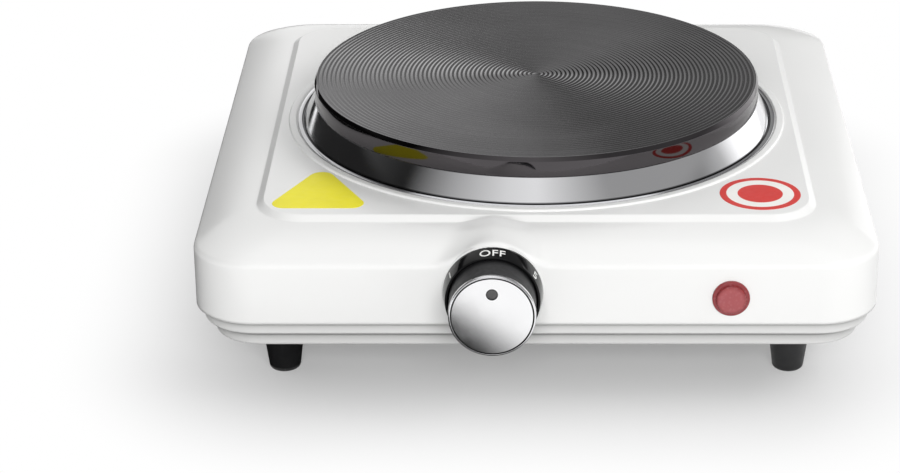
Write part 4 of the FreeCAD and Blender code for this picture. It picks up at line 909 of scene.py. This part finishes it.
# %% Sticker finishes
wear(yellow_sheet, Finish("yellow_vinyl", (236, 226, 48), 0.42, 0.0, (9, 0.03), (2.2, 0.36, 0.48),
                          (1.1, 0.004)))
rings = Finish("ring_vinyl", STICKER_RED, 0.4)
ring_r = rings.radius(plate_axis + np.array([*DISC_AT, 0]) * MM)
rings.mark(ring_r, (238, 236, 232), WHITE_FROM, WHITE_FROM + 0.15)
rings.mark(ring_r, STICKER_RED, WHITE_TO, WHITE_TO + 0.15)
rings.tone(8, 0.03).gloss(2.2, 0.34, 0.46).relief(1.1, 0.004)
wear(round_sheet, rings)
print("stickers at", triangle.mean(0).round(1), disc.mean(0).round(1))

# %% [markdown]
# ## Enamel and paint
# The housing is pressed steel with white enamel baked on. Enamel is glass: a hard clear
# surface over a white body, with a slight orange-peel waviness. The pan under it has
# white paint, less glossy, made a little greyer as painted shade for its low place under
# the rim. Its two creases get painted shade too, darkest right under each fold and fading down the
# band.

# %% Housing and pan
PAN_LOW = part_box("base_pan")[0][2] / MM
CREASE_SHADE_HIGH = 12.0
# painted shade in the pan's two creases: height above the pan's bottom in mm, and how dark
CREASE_SHADE = [(0.0, 0.05), (2.2, 0.36), (3.4, 0.62), (3.8, 1.0), (5.4, 1.0), (5.9, 0.05),
        (7.8, 0.32), (8.7, 0.62), (9.2, 1.0), (10.5, 1.0)]
enamel = Finish("white_enamel", (232, 232, 231), 0.42, 0.0, (60, 0.012), ((18, 3), 0.38, 0.46),
                (3.2, 0.006), Coat_Weight=0.5, Coat_Roughness=0.10)
enamel.relief(3.2, 0.008, coat=True)
# the pan's white paint, made a little greyer as painted shade
shaded_pan_paint = Finish("shaded_pan_paint", (222, 222, 221), 0.48, 0.0, (45, 0.02), ((12, 3), 0.42, 0.54),
                   (1.6, 0.008))
level = shaded_pan_paint.add("SeparateXYZ", {0: shaded_pan_paint.where(scale=(0, 0, 1 / MM))}).outputs["Z"]
level = shaded_pan_paint.add("MapRange", {"Value": level, "From Min": PAN_LOW,
                                   "From Max": PAN_LOW + CREASE_SHADE_HIGH})
crease_shade = shaded_pan_paint.ramp(level.outputs["Result"], [(above / CREASE_SHADE_HIGH, grey) for above, grey in CREASE_SHADE])
# painted shade: the creases darken towards this grey
shaded_pan_paint.mark(crease_shade, (112, 112, 111), 0.0, 1.0, 0.8)
wear(housing, enamel)
wear(knob_seat, enamel)
print("enamel and paint ready")

# %% [markdown]
# ## Finishes for the small and the hidden pieces
# These pieces keep their CAD shape. What makes each one read as its own material is the
# grain: brushed lines along a strip, sand in cement, speckles in fired clay, a bloom on
# rubber. Most have the same three patterns, so they stand in one table. Every node names
# its material slot, so a second table, from slot to finish, dresses the whole inside.

# %% One row for each finish
# colour, roughness, metal, then tone (noise, share), gloss (noise, low, high) and
# relief (noise, height in mm); a noise is its size, or its size, detail and stretch
SMALL = {
    "plain_steel": ((168, 170, 172), 0.34, 1.0, ((3.0, 3), 0.10), ((1.2, 3), 0.26, 0.44),
                    ((0.5, 2, (1, 14, 1)), 0.006)),
    "spring_steel": ((134, 130, 124), 0.3, 1.0, ((4.0, 3), 0.08), ((1.5, 3), 0.24, 0.38),
                     ((0.4, 2, (14, 1, 1)), 0.004)),
    "chrome_plate": ((222, 223, 226), 0.08, 1.0, (9, 0.02), (3, 0.05, 0.12), (1.5, 0.002)),
    "brass": ((201, 168, 98), 0.3, 1.0, ((2.5, 3), 0.10), ((1.4, 3), 0.22, 0.40), (0.5, 0.004)),
    "heater_wire": ((92, 84, 80), 0.55, 0.8, ((2.0, 3), 0.18), (1.0, 0.45, 0.65), ((0.6, 3), 0.02)),
    "fired_ceramic": ((226, 218, 202), 0.62, 0.0, ((6, 3), 0.05), (1.8, 0.55, 0.72), ((0.7, 3), 0.02)),
    "black_rubber": ((24, 24, 25), 0.45, 0.0, ((7, 3), 0.14), ((2.5, 3), 0.36, 0.54), (0.5, 0.015)),
    "white_plastic": ((228, 227, 220), 0.38, 0.0, (10, 0.03), (3, 0.32, 0.46), (0.8, 0.006)),
    "wire_jacket": ((196, 70, 58), 0.5, 0.0, (6, 0.06), (2, 0.42, 0.58), (0.5, 0.01)),
}
made = {name: Finish(name, *row) for name, row in SMALL.items()}
made["brass"].mark((5, 3), (140, 104, 60), 0.6, 0.8, 0.5)
made["fired_ceramic"].mark(made["fired_ceramic"].grains(2.2), (150, 132, 108), 0.12, 0.05, 0.5)
bulb_glass = Finish("bulb_glass", (250, 238, 230), 0.04, 0.0, (4, 0.03), (2, 0.02, 0.07),
                    (2.5, 0.01), IOR=1.5, Transmission_Weight=0.9)
cement = Finish("heater_cement", (164, 158, 148), 0.9, 0.0, ((5, 4), 0.10), (2, 0.82, 0.97))
cement.mark(cement.grains(0.9), (206, 200, 190), 0.3, 0.1, 0.5).relief(cement.grains(0.9), 0.08)
matte_black = Finish("matte_black", (44, 44, 45), 0.55, 0.0, ((8, 3), 0.10), (2, 0.46, 0.62))
matte_black.relief(matte_black.grains(0.45), 0.012)
print("finishes", len(bpy.data.materials))

# %% Dress the CAD pieces
BY_SLOT = made | {
    "white_enamel": enamel, "pan_paint": shaded_pan_paint, "cast_iron": blackened, "cement": cement,
    "trim_steel": bright_steel, "ceramic": made["fired_ceramic"], "black_gloss": gloss_black,
    "black_matte": matte_black, "lamp_red": ruby, "lamp_glass": bulb_glass,
}
for piece in frame["record"]["subparts"]:
    for place in nodes[piece["node"]].material_slots:
        place.material = BY_SLOT[piece["material_slot"]].material

# %% [markdown]
# ## Camera
# The camera stands in front of the plate's own axis and looks down a little. A long lens
# keeps the body's sides nearly parallel, and a small shift places the body right of the
# middle of the frame.

# %% Camera
LENS, SENSOR, SHIFT_X, FAR = 109.96, 36.0, -0.096, 50
PITCH = 24.05
EYE = np.array([0.0, -0.9012 + plate_axis[1], 0.4097])

lens_data = bpy.data.cameras.new("camera")
lens_data.lens, lens_data.sensor_width = LENS, SENSOR
lens_data.shift_x, lens_data.clip_end = SHIFT_X, FAR
camera = into_scene("camera", lens_data)
camera.location = EYE
camera.rotation_euler = (math.radians(90 - PITCH), 0, 0)
scene.camera = camera
scene.view_settings.view_transform = "Standard"
print("camera at", EYE.round(3), "pitch", PITCH)

# %% [markdown]
# ## Floor
# A studio table is a plain pale sheet, so large that no edge shows. Away from the object
# it fades into the white of the room, for the camera and for reflections, and near the
# object it keeps the object's shadow.

# %% Floor
FLOOR_HALF = 6.0
FADE_RUN, FADE_NEAR = 0.090, 0.22
FADE_UNDER, FADE_LEFT = (0.042, 0.030), 0.004
PAINT_GREY = 0.56
WHITE = (1, 1, 1, 1)


def seen_directly(paint):
    """1 for the camera's own rays and for those off or through a glossy surface, else 0."""
    path = paint.add("LightPath").outputs
    seen = paint.number("MAXIMUM", path["Is Camera Ray"], path["Is Glossy Ray"])
    return paint.number("MAXIMUM", seen, path["Is Transmission Ray"])


def stage_piece(name, verts, faces, shader, reflected_only=False):
    """A piece of the studio, which may show to glossy rays alone. Its shader function
    gets the node tree and gives back the shader's output."""
    mesh = bpy.data.meshes.new(name)
    mesh.from_pydata(np.asarray(verts).tolist(), [], np.asarray(faces).tolist())
    obj = into_scene(name, mesh)
    if reflected_only:
        obj.visible_camera = obj.visible_diffuse = obj.visible_shadow = False
        obj.visible_transmission = obj.visible_volume_scatter = False
    mesh.materials.append(bpy.data.materials.new(name))
    paper = Nodes(mesh.materials[0])
    paper.link(shader(paper), paper.add("OutputMaterial").inputs["Surface"])


def table_shader(table):
    """Grey paint near the object, which fades into white as it gets further from it."""
    half = (HALF_X * MM - FADE_UNDER[0], HALF_Y * MM - FADE_UNDER[1], 1.0)
    spot = table.vector("ABSOLUTE", table.where(plate_axis - (FADE_LEFT, 0, 0)))
    past = table.vector("MAXIMUM", table.vector("SUBTRACT", spot, half), (0, 0, 0))
    away = table.vector("LENGTH", past)
    share = table.number("MULTIPLY", table.fade(away, 0.0, FADE_RUN, FADE_NEAR), seen_directly(table))
    paint = table.add("BsdfDiffuse", {"Color": (PAINT_GREY, PAINT_GREY, PAINT_GREY, 1)})
    glow = table.add("Emission", {"Color": WHITE})
    return table.add("MixShader", {0: share, 1: paint.outputs[0], 2: glow.outputs[0]}).outputs[0]


square = FLOOR_HALF * np.array([(-1, -1, 0), (1, -1, 0), (1, 1, 0), (-1, 1, 0)])
stage_piece("table_top", square, [(0, 1, 2, 3)], table_shader)
print("floor", FLOOR_HALF * 2, "m square")

# %% [markdown]
# ## Light
# One wide soft lamp in front, not high, makes the front wall the brightest face and shades
# the frame's crown from bright to grey. One behind, higher and a little to the right,
# lights the panel. Two weak ones at the sides keep the frame's flanks from going dark,
# and the room adds a little from everywhere.

# %% Lamps
AIM = (0.0, 0.0, 0.04)


def lamp(name, size, power, place):
    """A rectangular area lamp that faces the object. Reflections don't show it."""
    data = bpy.data.lights.new(name, "AREA")
    data.shape = "RECTANGLE"
    data.size, data.size_y = size
    data.energy = power
    obj = into_scene(name, data)
    obj.location = place
    obj.rotation_euler = (Vector(AIM) - Vector(place)).to_track_quat("-Z", "Y").to_euler()
    obj.visible_glossy = False


lamp("front_soft", (1.0, 0.6), 18.3, (0.10, -1.34, 0.60))
lamp("right_soft", (0.5, 0.5), 3.6, (0.72, -0.04, 0.62))
lamp("back_soft", (0.8, 0.5), 8.6, (0.35, 0.95, 0.85))
lamp("left_soft", (0.5, 0.5), 1.5, (-0.85, 0.10, 0.42))

# %% [markdown]
# Bright metal looks like whatever stands round it. Here that is a tall screen all round
# the table that only reflections show. Low down it is black on the left, grey in front,
# very bright at the right back, and has narrow pale and dark strips behind. Halfway up
# it is the same in front and softer behind, and its top is white. A black sheet on the
# table, left of the object, is painted shade that only reflections show, standing for the table's
# shadow near the body. Its front left corner is cut away, so that the knob's face still mirrors the
# pale table when it is seen from the right.

# %% Reflection screen
PEAK = 1.6
SIDES = 96
SCREEN_RADIUS, SCREEN_FOOT = 1.2, 0.002
FRONT_GREYS = [(-66, 0.012), (-42, 0.40), (-15, 0.75), (0, 0.83), (20, 0.52), (36, 0.31)]
LOW_GREYS = [(-180, 0.52), (-174, 1.10), (-168, 1.30), (-164, 0.95), (-159, 0.50), (-152, 0.02),
             *FRONT_GREYS, (85, 0.23), (100, 0.5), (118, 1.6), (150, 1.6), (155, 0.28),
             (162, 0.20), (169, 0.03), (174, 0.05), (180, 0.52)]
MIDDLE_GREYS = [(-180, 0.40), (-168, 0.62), (-150, 0.70), (-125, 0.10), *FRONT_GREYS,
                (90, 0.33), (165, 0.20), (180, 0.40)]
LOW_TO_MIDDLE = (0.43, 0.54)
MIDDLE_TO_TOP = (1.95, 2.30)


def screen_shader(paper):
    """Low greys below, middle greys above them, white at the top, each fading to the next.
    The greys run over the angle from the front, in degrees. A ramp holds no more than 1,
    so each grey is divided by the peak, and the glow multiplies it back."""
    axes = paper.add("SeparateXYZ", {0: paper.where()}).outputs
    angle = paper.number("ARCTAN2", axes["X"], paper.number("MULTIPLY", axes["Y"], -1.0))
    angle = paper.add("MapRange", {"Value": angle, "From Min": -math.pi, "From Max": math.pi})
    colour, halfway = [
        paper.ramp(angle.outputs["Result"], [(a / 360 + 0.5, g / PEAK) for a, g in greys])
        for greys in (LOW_GREYS, MIDDLE_GREYS)]
    top = (1 / PEAK, 1 / PEAK, 1 / PEAK, 1)
    for upper, span in ((halfway, LOW_TO_MIDDLE), (top, MIDDLE_TO_TOP)):
        rise = paper.fade(axes["Z"], *span)
        colour = paper.add("Mix", {0: rise, 6: colour, 7: upper}, data_type="RGBA").outputs[2]
    return paper.add("Emission", {"Color": colour, "Strength": PEAK}).outputs[0]


round_xy = spokes(full_turn(SIDES), "up")
screen_low = round_xy * SCREEN_RADIUS + (0, 0, SCREEN_FOOT)
stage_piece("reflection_screen", np.vstack([screen_low, screen_low + (0, 0, MIDDLE_TO_TOP[1])]),
            bands(2, SIDES), screen_shader, reflected_only=True)

# %% Painted shade on the table, seen only in reflections
SHADE_CENTRE = np.array([-0.393, 0.074, 0.0015])
SHADE_INNER, SHADE_OUTER = 0.434, 0.473
CUT_AWAY = {"X": (-0.062, -0.044), "Y": (-0.178, -0.162)}
SHADE_GREY = 0.01


def shade_shader(paper):
    """Black in the middle, clear at the edge and where both x and y are below the cut."""
    away = paper.vector("LENGTH", paper.where(SHADE_CENTRE))
    spot = paper.add("SeparateXYZ", {0: paper.where()}).outputs
    past = [paper.fade(spot[way], *span, 1.0, 0.0) for way, span in CUT_AWAY.items()]
    clear = paper.number("MAXIMUM", paper.fade(away, SHADE_INNER, SHADE_OUTER),
                         paper.number("MINIMUM", *past))
    black = paper.add("Emission", {"Color": (SHADE_GREY, SHADE_GREY, SHADE_GREY, 1)})
    return paper.add("MixShader", {0: clear, 1: black.outputs[0],
                                   2: paper.add("BsdfTransparent").outputs[0]}).outputs[0]


# painted shade: a black sheet that stands for the table's shadow in reflections
stage_piece("reflected_shade_sheet", round_xy * SHADE_OUTER + SHADE_CENTRE, [range(SIDES)], shade_shader,
            reflected_only=True)

# %% World
ROOM_GLOW = 0.12
room = bpy.data.worlds.new("room")
scene.world = room
air = Nodes(room)
soft = air.add("Background", {"Color": WHITE, "Strength": ROOM_GLOW})
white = air.add("Background", {"Color": WHITE, "Strength": 1.0})
both = air.add("MixShader", {0: seen_directly(air), 1: soft.outputs[0], 2: white.outputs[0]})
air.link(both.outputs[0], air.add("OutputWorld").inputs["Surface"])
